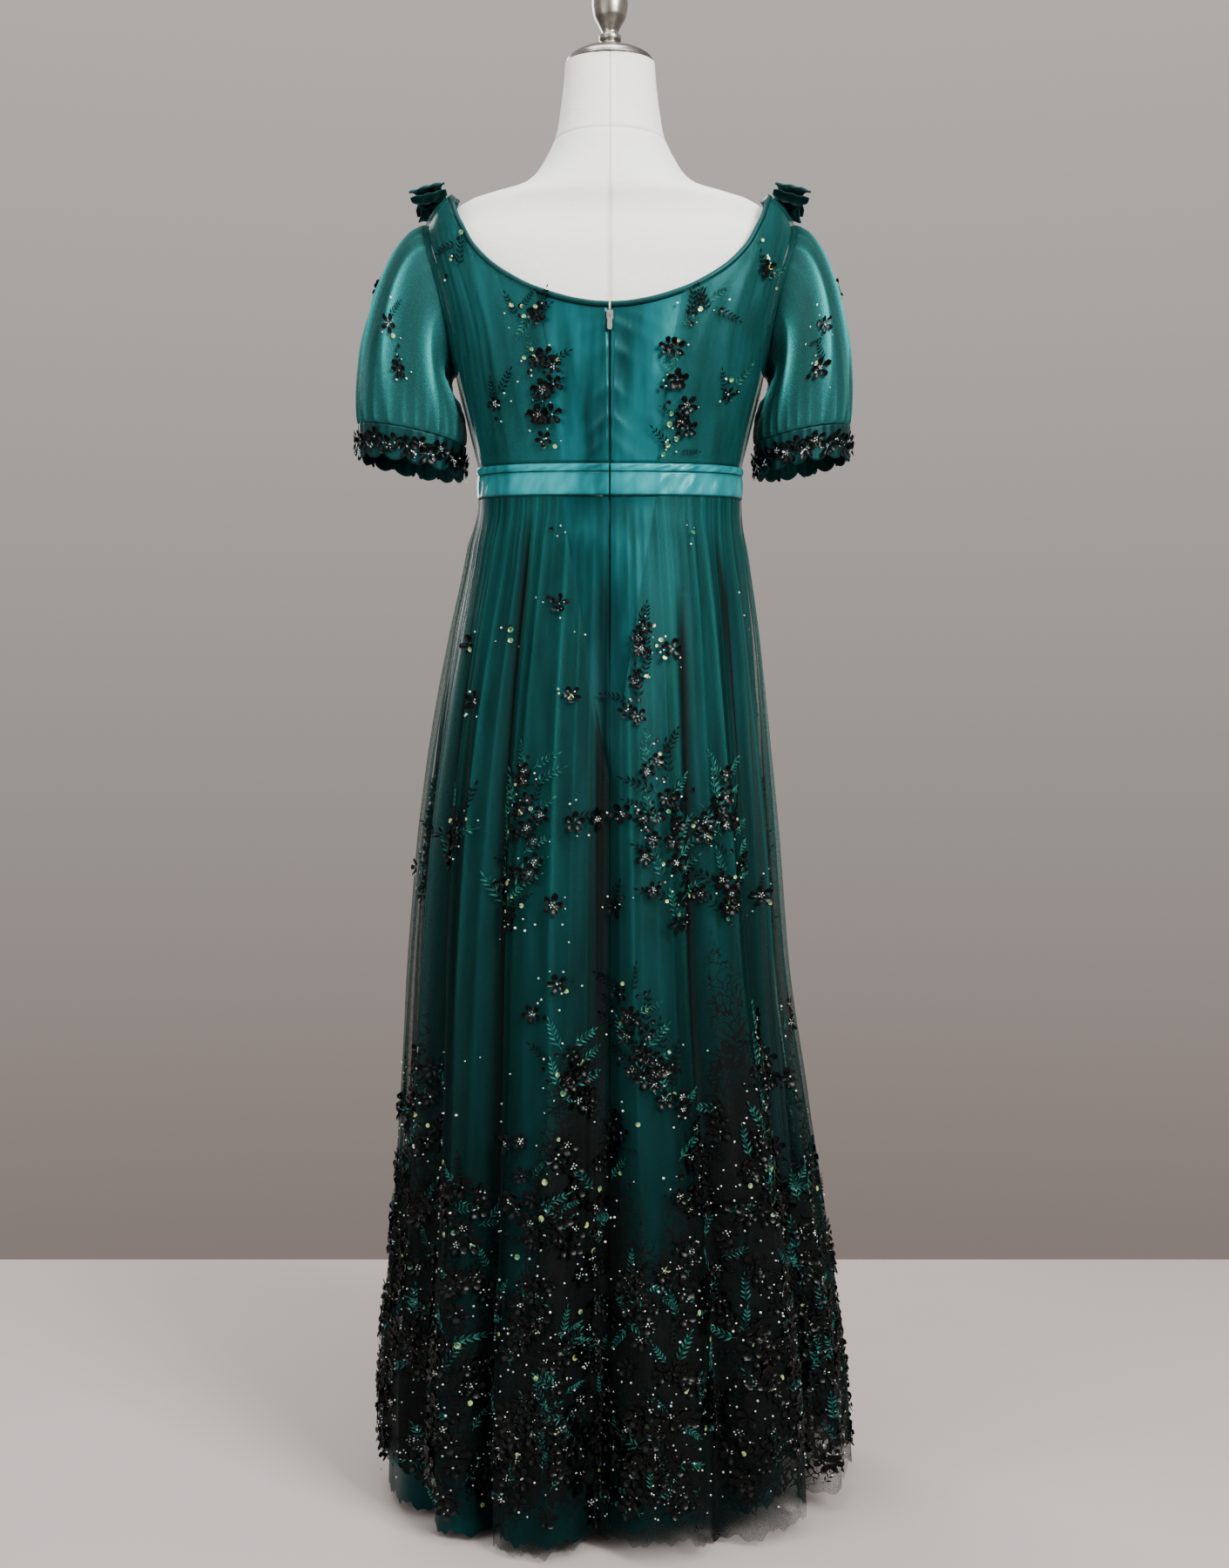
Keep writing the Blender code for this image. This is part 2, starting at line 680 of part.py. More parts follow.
def build_skirt(prefix, surface, hem, thickness, cloth, extra):
    """Three panels, seamed at the sides and at centre back."""
    for name, start, end in (
        ("back_left", 0.0, 90.0),
        ("back_right", 90.0, 180.0),
        ("front", 180.0, 360.0),
    ):
        grids = ([], [])
        for level in SKIRT_LEVELS:
            for grid, inward in zip(grids, (0.0, thickness)):
                points = []
                for angle, height in skirt_panel(start, end, level, hem, extra):
                    gap = math.degrees(SEAM_GAP / 2 / skirt_outline(90.0, height).y)
                    low, high = (start + gap, end - gap) if start != 90.0 else (90.0, 180.0 - gap)
                    angle = within(angle, low, high)
                    spot = surface(angle, height)
                    points.append(spot - inward * normal_of(surface, angle, height))
                grid.append(points)
        wall(f"{prefix}_{name}", *grids, cloth)


# ---------------------------------------------------------------- sleeves
CUFF_ACROSS = Vector((math.cos(CUFF_TILT), 0.0, math.sin(CUFF_TILT)))
CUFF_DOWN = Vector((0.04, 0.0, -1.0)).normalized()
GATHER = 0.0015  # how far a sleeve's alternate ridges stand in and out

# How each layer of a sleeve is set in: its ease over the body and how far inside the armhole it
# starts; how far it stands out from the body on the outer and the inner side of the arm; how
# much it puffs over the cuff, how much wider it is all round, and its ease at the cuff.
LAYERS = table(
    ("layer", "wall", "ease", "inside", "outer_leave", "inner_leave", "puff", "spread", "cuff_ease"),
    ("sleeve", SATIN_WALL, NET_EASE + 0.0012, 0.0052, 0.042, 0.046, 0.004, -0.0030, -0.0030),
    ("net_sleeve", NET_WALL, NET_EASE + 0.0016, 0.0017, 0.056, 0.034, 0.008, 0.0060, 0.0002),
)


def cuff_rim(row, turn, ease):
    """A point of the cuff's upper rim, and the direction out of the arm there."""
    t = math.radians(turn)
    out = CUFF_ACROSS * math.cos(t) + Vector((0.0, math.sin(t), 0.0))
    centre = Vector((CUFFS["centre_x"][row], CUFF_CENTRE_Y, CUFF_HEIGHT))
    rim = CUFF_ACROSS * (CUFFS["radius_x"][row] + ease) * math.cos(t)
    return centre + rim + Vector((0.0, (CUFF_RADIUS_Y + ease) * math.sin(t), 0.0)), out


def sleeve(row, layer, turn, share):
    """A sleeve as if on the left: turn runs round it from the shoulder by the back, share goes
    from the armhole (0) to the cuff (1)."""
    t = math.radians(turn)
    swing = ARMHOLE_BACK_SWING if math.sin(t) > 0 else ARMHOLE_FRONT_SWING
    start = on_body(*armhole(swing, turn, LAYERS["inside"][layer]), LAYERS["ease"][layer])
    end, out = cuff_rim(row, turn, LAYERS["cuff_ease"][layer])
    radial = Vector((0.0, math.sin(t), math.cos(t)))
    outer = (1.0 + math.cos(t)) / 2
    spread = LAYERS["spread"][layer]
    reach = LAYERS["outer_leave"][layer] * outer + LAYERS["inner_leave"][layer] * (1.0 - outer)
    first = start + (Vector((0.70, 0.0, -0.30)) + radial * (0.40 - 0.12 * outer)) * reach
    first += radial * spread
    second = end + Vector((0.0, 0.0, 0.056)) + out * (LAYERS["puff"][layer] * outer + spread)
    s = share
    return (
        start * (1 - s) ** 3
        + first * 3 * s * (1 - s) ** 2
        + second * 3 * s * s * (1 - s)
        + end * s**3
    )


def build_sleeve(row, layer, cloth):
    """A sleeve between its armhole and its cuff, gathered at both into alternate ridges."""
    columns, rows, sign = 2 * ARMHOLE_STEPS, 5, CUFFS["sign"][row]
    grids = ([], [])
    for r in range(rows + 1):
        share = r / rows
        low, high = max(share - 0.02, 0.0), min(share + 0.02, 1.0)
        points = ([], [])
        for c in range(columns):
            turn = 360.0 * c / columns
            across = sleeve(row, layer, turn + 2.0, share) - sleeve(row, layer, turn - 2.0, share)
            along = sleeve(row, layer, turn, high) - sleeve(row, layer, turn, low)
            normal = along.cross(across).normalized()
            ridge = GATHER * math.sin(math.pi * share) * (1 if c % 2 else -1)
            spot = sleeve(row, layer, turn, share) + normal * ridge
            for line, p in zip(points, (spot, spot - normal * LAYERS["wall"][layer])):
                line.append(Vector((p.x * sign, p.y, p.z)))
        grids[0].append(points[0])
        grids[1].append(points[1])
    wall(f"{LAYERS['layer'][layer]}_{CUFFS['side'][row]}", *grids, cloth, ring=True)


def build_cuff(row, cloth):
    """A band below the sleeve, drawn in towards its scalloped edge."""
    columns, sign = 2 * CUFF_SCALLOPS, CUFFS["sign"][row]
    grids = ([], [])
    for share, flare in ((0.0, 0.0012), (1.0, -0.0010)):
        for grid, inward in zip(grids, (0.0, CUFF_WALL)):
            line = []
            for c in range(columns):
                rim, _ = cuff_rim(row, 360.0 * c / columns, flare - inward)
                p = rim + CUFF_DOWN * (0.0012 + share * (CUFF_WIDTH - CUFF_SCALLOP_DEPTH * (c % 2)))
                line.append(Vector((p.x * sign, p.y, p.z)))
            grid.append(line)
    wall("cuff_" + CUFFS["side"][row], *grids, cloth, ring=True)


# ---------------------------------------------------------------- bows
def build_bow(side_name, side, velvet):
    """A flat ribbon bow along the shoulder's end: a front loop, a back loop and a knot."""
    anchor = Vector((side * 0.1990, 0.0, 1.4172))
    lean = math.radians(14.0) * side
    width = Vector((math.cos(lean), 0.0, -math.sin(lean))) * RIBBON_WIDTH / 2
    lift = Vector((math.sin(lean), 0.0, math.cos(lean)))
    middle, half_length, half_height = 0.0275, 0.0200, 0.0095
    for end, way in (("back", 1.0), ("front", -1.0)):
        grids = ([], [])
        for share in (-1.0, -0.35, 0.35, 1.0):
            rows = ([], [])
            for k in range(9):
                t = math.radians(-156.0 + 39.0 * k)
                reach, rise = middle - half_length * math.cos(t), -half_height * math.sin(t)
                fan = 1.0 if reach > middle else 0.72
                out = Vector((0.0, way * (reach - middle), 0.0)) + lift * rise
                base = anchor + Vector((0.0, way * reach, -0.10 * reach)) + lift * rise
                rows[0].append(base + width * share * fan)
                rows[1].append(base - out.normalized() * RIBBON_WALL + width * share * fan)
            grids[0].append(rows[0])
            grids[1].append(rows[1])
        wall(f"bow_{side_name}_{end}_loop", *grids, velvet)
    rings = [
        [
            anchor + width * 0.62 * across + Vector((0.0, 0.0062 * deep, 0.0)) + lift * rise
            for across, deep in ((-1, -0.8), (0, -1), (1, -0.8), (1, 0.8), (0, 1), (-1, 0.8))
        ]
        for rise in (-0.0085, 0.0085)
    ]
    stacked(f"bow_{side_name}_knot", rings, velvet)


# ---------------------------------------------------------------- zip
def satin_back_line(height):
    """The satin's outer face at centre back, from the neck down into the underskirt."""
    if height >= waist_seam(90.0):
        return on_body(90.0, height, SATIN_EASE).y
    if height > skirt_top(90.0):
        return on_band(90.0, height, SATIN_EASE).y
    return satin_skirt(90.0, height).y


def block(x, y, z):
    """The corners and faces of a box from pairs of limits."""
    points = [(a, b, c) for a in x for b in y for c in z]
    faces = [(0, 1, 3, 2), (4, 6, 7, 5), (0, 4, 5, 1), (2, 3, 7, 6), (0, 2, 6, 4), (1, 5, 7, 3)]
    return points, faces


def combine(target, points, faces, operation):
    """Joins or cuts a shape with a Boolean; the helper isn't rendered."""
    helper = new_object(
        f"{target.name}_{operation.lower()}", points, faces, target.data.materials[0]
    )
    helper.hide_render = True
    helper.display_type = "WIRE"
    modifier = target.modifiers.new(operation.title(), "BOOLEAN")
    modifier.operation = operation
    modifier.object = helper
    modifier.solver = "EXACT"


def build_zip(tape_cloth, metal):
    rows, thin = 14, 0.0008
    grids = ([], [])
    for r in range(rows + 1):
        height = ZIP_END + (ZIP_TOP - ZIP_END) * r / rows
        behind = 0.0014 + 0.0020 * within((skirt_top(90.0) - height) / 0.03)
        face = satin_back_line(height) - SATIN_WALL - behind
        for grid, y in zip(grids, (face, face - thin)):
            grid.append([Vector((x, y, height)) for x in (ZIP_CHAIN_WIDTH / 2, -ZIP_CHAIN_WIDTH / 2)])
    wall("zip_chain", *grids, tape_cloth)

    top, half = ZIP_TOP + 0.0025, 0.0034
    face = max(satin_back_line(top - 0.010), satin_back_line(top)) + 0.0009
    slider = new_object(
        "zip_slider", *block((-half, half), (face, face + 0.0016), (top - 0.0095, top)), metal
    )
    axis = Vector((0.0, face + 0.0034, top - 0.0042))
    out, leg = 0.0016, 0.0026
    arch = block((-0.0006, 0.0006), (face + 0.0006, axis.y + out), (axis.z - leg, axis.z + leg))
    combine(slider, *arch, "UNION")
    window = block(
        (-0.002, 0.002), (axis.y - 0.0011, axis.y + 0.0009), (axis.z - 0.0017, axis.z + 0.0017)
    )
    combine(slider, *window, "DIFFERENCE")
    build_pull(axis, metal)


def build_pull(axis, metal):
    """The slider's teardrop tab, hung on the slider's arch through a square eye."""
    length, width, thin = 0.0172, 0.0027, 0.0005
    outline = [(-0.0024, 0.0005), (0.0024, 0.0005)]
    for k in range(7):
        t = math.pi * k / 6
        outline.append((width * math.cos(t), -length + width - width * math.sin(t)))
    rings = [[(x, side * thin, z) for x, z in outline] for side in (-1, 1)]
    tab = stacked("zip_pull", rings, metal)
    tab.location = axis
    eye = block((-0.0013, 0.0013), (-0.003, 0.003), (-0.0038, -0.0005))
    combine(tab, [Vector(p) + axis for p in eye[0]], eye[1], "DIFFERENCE")


# ---------------------------------------------------------------- dress form
def build_form(linen, metal, foot_metal):
    turns = [360.0 * c / 32 for c in range(32)]
    rings = []
    for z in BODY["height"]:
        slack = FORM_SLACK + SHOULDER_SLACK * math.exp(-(((z - SHOULDER_TIP_HEIGHT) / 0.025) ** 2))
        rings.append([body(a, z) - slack * normal_of(body, a, z) for a in turns])
    for ring, height in ((rings[0], BODY["height"][0]), (rings[-1], BODY["height"][-1])):
        for p in ring:
            p.z = height
    stacked("form_torso", rings, linen)
    turned("form_finial", list(zip(FINIAL["radius"], FINIAL["height"])), metal, 24, -0.010)
    low, high = FOOT_HEIGHT + SEAM_GAP, BODY["height"][-1] - SEAM_GAP
    turned("stand_pole", [(POLE_RADIUS, low), (POLE_RADIUS, high)], metal, 20)
    foot = (
        (FOOT_RADIUS, 0.0),
        (FOOT_RADIUS, 0.008),
        (FOOT_RADIUS - 0.012, 0.014),
        (0.040, 0.018),
        (0.028, FOOT_HEIGHT),
    )
    turned("stand_foot", foot, foot_metal, 36)


def main():
    for old in list(bpy.data.objects):
        bpy.data.objects.remove(old)
    satin = material("satin", (0.012, 0.105, 0.100), 0.35)
    net = material("net", (0.020, 0.115, 0.105), 0.80)
    band = material("band_satin", (0.050, 0.230, 0.250), 0.32)
    dark = material("binding", (0.006, 0.035, 0.033), 0.45)
    lace = material("beaded_lace", (0.008, 0.020, 0.018), 0.50)
    velvet = material("ribbon_velvet", (0.004, 0.040, 0.040), 0.60)
    linen = material("linen", (0.800, 0.790, 0.740), 0.85)
    metal = material("nickel", (0.450, 0.430, 0.390), 0.30, 1.0)
    foot_metal = material("foot_metal", (0.060, 0.055, 0.050), 0.45, 0.6)

    build_form(linen, metal, foot_metal)
    build_bodice(satin, net)
    build_binding(dark)
    build_waistband(band)
    build_skirt("underskirt", satin_skirt, "satin", SATIN_WALL, satin, extra=True)
    build_skirt("net_skirt", net_skirt, "net", NET_WALL, net, extra=False)
    for row, side in enumerate(CUFFS["side"]):
        build_sleeve(row, 0, satin)
        build_sleeve(row, 1, net)
        build_cuff(row, lace)
        build_bow(side, CUFFS["sign"][row], velvet)
    build_zip(dark, metal)


main()
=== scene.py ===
"""The looks of a regency gown on its dress form: satin, embroidered net, ribbon and linen.

Every surface repeats the CAD's formulas at a finer step, in the same frame: metres, +Z up, the
gown faces -Y and its zip is at +Y.  Angles run round the body in degrees: 0 is the wearer's
left side (+X), 90 centre back, 180 the right side and 270 centre front.
"""

import math

import bmesh
import bpy
import numpy as np
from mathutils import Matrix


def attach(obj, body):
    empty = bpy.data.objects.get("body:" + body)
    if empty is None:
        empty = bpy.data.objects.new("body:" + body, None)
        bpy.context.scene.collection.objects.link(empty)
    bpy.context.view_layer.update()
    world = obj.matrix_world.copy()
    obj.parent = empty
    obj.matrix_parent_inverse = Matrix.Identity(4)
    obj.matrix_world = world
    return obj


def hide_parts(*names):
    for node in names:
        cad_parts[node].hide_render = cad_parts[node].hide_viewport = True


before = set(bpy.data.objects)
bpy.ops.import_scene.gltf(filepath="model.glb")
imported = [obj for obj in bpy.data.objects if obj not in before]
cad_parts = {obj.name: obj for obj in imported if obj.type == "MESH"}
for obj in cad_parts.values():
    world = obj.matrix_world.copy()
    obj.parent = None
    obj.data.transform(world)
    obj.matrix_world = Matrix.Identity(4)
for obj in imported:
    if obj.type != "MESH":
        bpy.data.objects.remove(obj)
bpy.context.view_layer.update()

# ---------------------------------------------------------------- sizes shared with the CAD
SATIN_EASE = 0.0034
NET_EASE = 0.0058
FORM_SLACK = 0.0048
SHOULDER_SLACK = 0.0086
SHOULDER_NECK_HEIGHT = 1.4095
SHOULDER_TIP_HEIGHT = 1.3865
ARMHOLE_CENTRE = 1.3040
ARMHOLE_HALF_HEIGHT = 0.0825
ARMHOLE_BACK_SWING = 31.0
ARMHOLE_FRONT_SWING = 36.0
WAIST_SEAM_HEIGHT = 1.1170
WAIST_SEAM_TILT = 0.0090
PIPING_WIDTH = 0.0090
BAND_WIDTH = 0.0255
CUFF_HEIGHT = 1.1540
CUFF_CENTRE_Y = -0.004
CUFF_RADIUS_Y = 0.0580
CUFF_TILT = math.radians(11.0)
CUFF_WIDTH = 0.037
CUFF_SCALLOPS = 14
CUFF_SCALLOP_DEPTH = 0.007
RIBBON_WIDTH = 0.040
ZIP_END = 0.870
ZIP_HALF_GAP = 0.0009
SLIT_HALF_WIDTH = 0.035
SLIT_END = 0.775
SEAM_GAP = 0.0004
SQUEEZE_REACH = 24.0
NECK_SHARE = 0.86
NECK_STEPS = (0.0, 0.135, 0.270, 0.400, 0.530, 0.650, 0.770, 0.890, 1.0)
NET_STARTS_AT = 2
SEAM_SHARE = 0.32
SWING_LENGTH = 0.0026
BUST_HEIGHT = 1.198
BUST_SWELL = 0.012
SLIT_TOP = 1.067
NECK_SEAM_HEIGHT = 1.482

# ---------------------------------------------------------------- sizes of this scene alone
SATIN_THICK = 0.0006
LACE_THICK = 0.0012
RIBBON_THICK = 0.0013
GATHER_FULLNESS = 1.15  # cloth that gathers finer than the modelled ones take up
NECK_CLEARANCE = 0.008  # between the bodice's marks and the neck's edge
MOTIF_LIMIT = 0.024  # the longest mark on a sleeve
SEED = 1811
LOOSE_BEADS = 1500
QUARTERS = ("back_left", "back_right", "front_left", "front_right")


def table(columns, *rows):
    """A table as {column name: array of its values}."""
    return {name: np.array([row[i] for row in rows]) for i, name in enumerate(columns)}


BODY = table(
    ("height", "half_width", "back", "front", "squareness"),
    (1.568, 0.0545, 0.043, 0.061, 2.0),
    (1.545, 0.0563, 0.047, 0.063, 2.0),
    (1.515, 0.0600, 0.052, 0.065, 2.0),
    (1.490, 0.0640, 0.058, 0.067, 2.0),
    (1.472, 0.0710, 0.064, 0.069, 2.0),
    (1.458, 0.0785, 0.068, 0.071, 2.0),
    (1.443, 0.0880, 0.073, 0.075, 2.1),
    (1.430, 0.1040, 0.078, 0.079, 2.2),
    (1.421, 0.1280, 0.082, 0.083, 2.4),
    (1.4145, 0.1560, 0.085, 0.087, 2.6),
    (1.408, 0.1730, 0.088, 0.090, 2.7),
    (1.398, 0.1860, 0.090, 0.093, 2.8),
    (1.386, 0.1945, 0.092, 0.095, 2.9),
    (1.368, 0.1990, 0.094, 0.098, 3.0),
    (1.330, 0.1950, 0.098, 0.104, 3.1),
    (1.290, 0.1860, 0.101, 0.113, 3.0),
    (1.250, 0.1730, 0.102, 0.126, 2.8),
    (1.205, 0.1600, 0.100, 0.139, 2.6),
    (1.160, 0.1490, 0.095, 0.132, 2.4),
    (1.110, 0.1395, 0.089, 0.110, 2.3),
    (1.050, 0.1300, 0.085, 0.099, 2.2),
    (0.990, 0.1230, 0.083, 0.093, 2.2),
    (0.930, 0.1320, 0.093, 0.093, 2.2),
    (0.860, 0.1460, 0.105, 0.096, 2.2),
    (0.800, 0.1500, 0.109, 0.097, 2.2),
    (0.775, 0.1440, 0.104, 0.093, 2.2),
)

SKIRT = table(
    ("height", "left", "right", "back", "front"),
    (1.090, 0.1455, 0.1450, 0.0965, 0.1130),
    (1.072, 0.1490, 0.1460, 0.1000, 0.1160),
    (1.008, 0.1600, 0.1550, 0.1130, 0.1230),
    (0.941, 0.1740, 0.1640, 0.1300, 0.1340),
    (0.863, 0.1890, 0.1710, 0.1500, 0.1470),
    (0.785, 0.2015, 0.1775, 0.1680, 0.1600),
    (0.700, 0.2120, 0.1850, 0.1850, 0.1730),
    (0.572, 0.2230, 0.1950, 0.2050, 0.1900),
    (0.427, 0.2310, 0.2170, 0.2250, 0.2080),
    (0.281, 0.2410, 0.2400, 0.2420, 0.2250),
    (0.136, 0.2540, 0.2600, 0.2560, 0.2400),
    (0.000, 0.2560, 0.2700, 0.2620, 0.2500),
)

FOLDS = table(
    ("ridge_top", "ridge_hem", "valley_top", "valley_hem", "depth", "start"),
    (20.0, 22.0, 33.0, 38.0, 0.030, 0.95),
    (42.0, 48.0, 55.0, 58.0, 0.040, 1.06),
    (70.0, 70.0, 88.0, 87.0, 0.046, 1.02),
    (103.0, 103.0, 119.0, 117.0, 0.040, 0.98),
    (128.0, 132.0, 140.0, 147.0, 0.036, 1.05),
    (152.0, 158.0, 165.0, 170.0, 0.024, 0.90),
    (178.0, 182.0, 190.0, 196.0, 0.026, 0.80),
    (203.0, 209.0, 215.0, 222.0, 0.034, 0.98),
    (229.0, 234.0, 243.0, 247.0, 0.030, 0.92),
    (257.0, 260.0, 271.0, 274.0, 0.036, 1.00),
    (284.0, 287.0, 298.0, 301.0, 0.028, 0.88),
    (311.0, 314.0, 324.0, 328.0, 0.037, 1.02),
    (337.0, 341.0, 350.0, 355.0, 0.030, 0.94),
)

HEMS = table(
    ("angle", "net", "satin"),
    (0.0, 0.046, 0.012),
    (24.0, 0.052, 0.011),
    (48.0, 0.036, 0.008),
    (68.0, 0.005, 0.012),
    (88.0, 0.016, 0.020),
    (103.0, 0.022, 0.036),
    (118.0, 0.006, 0.030),
    (134.0, 0.018, 0.032),
    (150.0, 0.022, 0.052),
    (168.0, 0.040, 0.060),
    (195.0, 0.026, 0.030),
    (225.0, 0.018, 0.016),
    (270.0, 0.012, 0.012),
    (315.0, 0.020, 0.014),
    (360.0, 0.046, 0.012),
)

CUFFS = table(
    ("sign", "centre_x", "radius_x"),
    (1.0, 0.2210, 0.0605),
    (-1.0, 0.2140, 0.0535),
)

NECK_BACK = table(
    ("swing", "height"),
    (90.0, 1.2720),
    (86.0, 1.2724),
    (78.0, 1.2762),
    (66.0, 1.2895),
    (56.0, 1.3115),
    (48.5, 1.3400),
    (43.5, 1.3690),
    (36.5, 1.3910),
    (20.0, 1.4050),
    (0.0, SHOULDER_NECK_HEIGHT),
)

NECK_FRONT = table(
    ("swing", "height"),
    (90.0, 1.2520),
    (84.0, 1.2525),
    (72.0, 1.2585),
    (62.0, 1.2720),
    (54.0, 1.2950),
    (48.5, 1.3260),
    (43.5, 1.3590),
    (36.5, 1.3860),
    (20.0, 1.4040),
    (0.0, SHOULDER_NECK_HEIGHT),
)

FINIAL = table(
    ("height", "radius"),
    (1.5690, 0.0500),
    (1.5735, 0.0490),
    (1.5810, 0.0400),
    (1.5860, 0.0250),
    (1.5890, 0.0130),
    (1.5950, 0.0095),
    (1.5980, 0.0125),
    (1.6020, 0.0125),
    (1.6050, 0.0088),
    (1.6130, 0.0120),
    (1.6250, 0.0180),
    (1.6390, 0.0200),
    (1.6510, 0.0190),
    (1.6590, 0.0130),
    (1.6640, 0.0120),
    (1.6710, 0.0150),
    (1.6800, 0.0135),
    (1.6860, 0.0070),
)

# A sleeve's two layers: how far each stands off the body at the armhole and starts inside its
# edge, its fullness on the outer and inner side, its puff over the cuff, and how far it spreads
# on its way and at the cuff's rim.
LAYERS = {
    "satin": dict(
        ease=NET_EASE + 0.0006, inside=0.0012, outer=0.042, inner=0.046,
        puff=0.004, spread=-0.0030, cuff=-0.0030,
    ),
    "net": dict(
        ease=NET_EASE + 0.0016, inside=0.0017, outer=0.056, inner=0.034,
        puff=0.008, spread=0.0060, cuff=0.0002,
    ),
}


# ---------------------------------------------------------------- numbers
def curve(rows, key, column, at):
    """A table's column read at keys, on a cubic through the rows that never overshoots."""
    keys, values = rows[key], rows[column]
    if keys[0] > keys[-1]:
        keys, values = keys[::-1], values[::-1]
    at = np.clip(at, keys[0], keys[-1])
    slopes = np.diff(values) / np.diff(keys)
    product = slopes[:-1] * slopes[1:]
    total = slopes[:-1] + slopes[1:]
    inner = np.where(product > 0, 2 * product / np.where(total == 0, 1.0, total), 0.0)
    tangents = np.concatenate([slopes[:1], inner, slopes[-1:]])
    i = np.clip(np.searchsorted(keys, at, side="right") - 1, 0, len(keys) - 2)
    span = keys[i + 1] - keys[i]
    t = (at - keys[i]) / span
    return (
        (2 * t**3 - 3 * t**2 + 1) * values[i]
        + (t**3 - 2 * t**2 + t) * span * tangents[i]
        + (3 * t**2 - 2 * t**3) * values[i + 1]
        + (t**3 - t**2) * span * tangents[i + 1]
    )


def within(value, low=0.0, high=1.0):
    return np.clip(value, low, high)


def crossed(across, down):
    """Two full grids from a row and a column of values."""
    return across[None, :] + 0.0 * down[:, None], down[:, None] + 0.0 * across[None, :]


def eased_in(share):
    """0 up to a share of 0 and 1 from a share of 1, with a smooth rise between."""
    share = within(share)
    return share * share * (3 - 2 * share)


def unit(vectors):
    return vectors / np.maximum(np.linalg.norm(vectors, axis=-1, keepdims=True), 1e-12)


def xyz(x, y, z):
    return np.stack(np.broadcast_arrays(x, y, z), axis=-1).astype(float)


def crests(turns, sharp=1.6):
    """Pleats from 0 in a trough to 1 on a narrow crest, one to a turn."""
    return (1.0 - np.abs(np.sin(np.pi * turns))) ** sharp


def uneven(turns, seed):
    """Turns pushed back and forth, so that the pleats differ in width."""
    return turns + 0.34 * np.sin(0.61 * turns + seed) + 0.23 * np.sin(1.37 * turns + 2.1 * seed)


# ---------------------------------------------------------------- surfaces
def squircle(angle, squareness):
    """Where an angle meets a unit circle that is drawn out towards a square."""
    c, s = np.cos(np.radians(angle)), np.sin(np.radians(angle))
    k = (np.abs(c) ** squareness + np.abs(s) ** squareness) ** (-1.0 / squareness)
    return k * c, k * s


def body(angle, height):
    """The shape the gown is cut to, with a soft bust at the front."""
    width, back, front, squareness = (
        curve(BODY, "height", name, height)
        for name in ("half_width", "back", "front", "squareness")
    )
    x, y = squircle(angle, squareness)
    side = (np.abs(np.degrees(np.arcsin(within(x, -1.0, 1.0)))) - 30.0) / 24.0
    bust = BUST_SWELL * np.exp(-side * side - ((height - BUST_HEIGHT) / 0.045) ** 2) * (y < 0)
    return xyz(width * x, np.where(y > 0, back, front + bust) * y, height)


def normal_of(surface, angle, height):
    across = surface(angle + 0.5, height) - surface(angle - 0.5, height)
    along = surface(angle, height + 0.002) - surface(angle, height - 0.002)
    return unit(np.cross(across, along))


def waist_seam(angle):
    return WAIST_SEAM_HEIGHT - WAIST_SEAM_TILT * np.sin(np.radians(angle))


def on_body(angle, height, ease):
    """A point moved off the body's shape, kept level near the waist seam."""
    moved = body(angle, height) + np.asarray(ease)[..., None] * normal_of(body, angle, height)
    keep = 1.0 - eased_in((height - waist_seam(angle)) / 0.05)
    moved[..., 2] += (height - moved[..., 2]) * keep
    return moved


def on_band(angle, height, ease):
    """Upright cloth round the waist seam, at any height."""
    level = waist_seam(angle)
    normal = normal_of(body, angle, level)
    normal[..., 2] = 0.0
    moved = body(angle, level) + np.asarray(ease)[..., None] * unit(normal)
    return xyz(moved[..., 0], moved[..., 1], height)


def skirt_top(angle):
    return waist_seam(angle) - PIPING_WIDTH - BAND_WIDTH - SEAM_GAP


def fold_parts(angle, height, sharp):
    """Each point's fold's full depth there, and the point's share of it from 0 on the ridge to
    1 in the trough; a larger sharp narrows the troughs."""
    drop = within((1.075 - height) / 1.075)
    share = (drop * (2.0 - drop))[..., None]
    ridges, valleys = (
        FOLDS[kind + "_top"] + (FOLDS[kind + "_hem"] - FOLDS[kind + "_top"]) * share
        for kind in ("ridge", "valley")
    )
    first = ridges[..., 0]
    angle = (angle - first) % 360.0 + first
    i = np.sum(ridges <= angle[..., None], axis=-1) - 1
    ends = np.concatenate([ridges, ridges[..., :1] + 360.0], axis=-1)
    valley = np.take_along_axis(valleys, i[..., None], -1)[..., 0]
    before = np.take_along_axis(ends, i[..., None], -1)[..., 0]
    after = np.take_along_axis(ends, i[..., None] + 1, -1)[..., 0]
    ridge = np.where(angle <= valley, before, after)
    away = within((angle - ridge) / (valley - ridge))
    grown = within(1.0 - height / FOLDS["start"][i]) ** 0.8
    return FOLDS["depth"][i] * grown, np.sin(np.pi / 2 * away**sharp) ** 2


def fold_depth(angle, height, sharp):
    """How far the cloth lies inside the ridges' outline."""
    depth, share = fold_parts(angle, height, sharp)
    return depth * share


def skirt_outline(angle, height):
    left, right, back, front = (
        curve(SKIRT, "height", name, height) for name in ("left", "right", "back", "front")
    )
    x, y = squircle(angle, 2.1)
    return xyz(x * np.where(x > 0, left, right), y * np.where(y > 0, back, front), height)


def skirt(angle, height, inset, follow, ease, sharp):
    """A skirt layer: on the band at its top, then out to the outline less its folds and inset."""
    outline = skirt_outline(angle, height)
    reach = np.hypot(outline[..., 0], outline[..., 1])
    share = 1.0 - (fold_depth(angle, height, sharp) * follow + inset) / reach
    opened = xyz(outline[..., 0] * share, outline[..., 1] * share, height)
    t = eased_in((skirt_top(angle) - height) / 0.055)[..., None]
    return on_band(angle, height, ease) * (1 - t) + opened * t


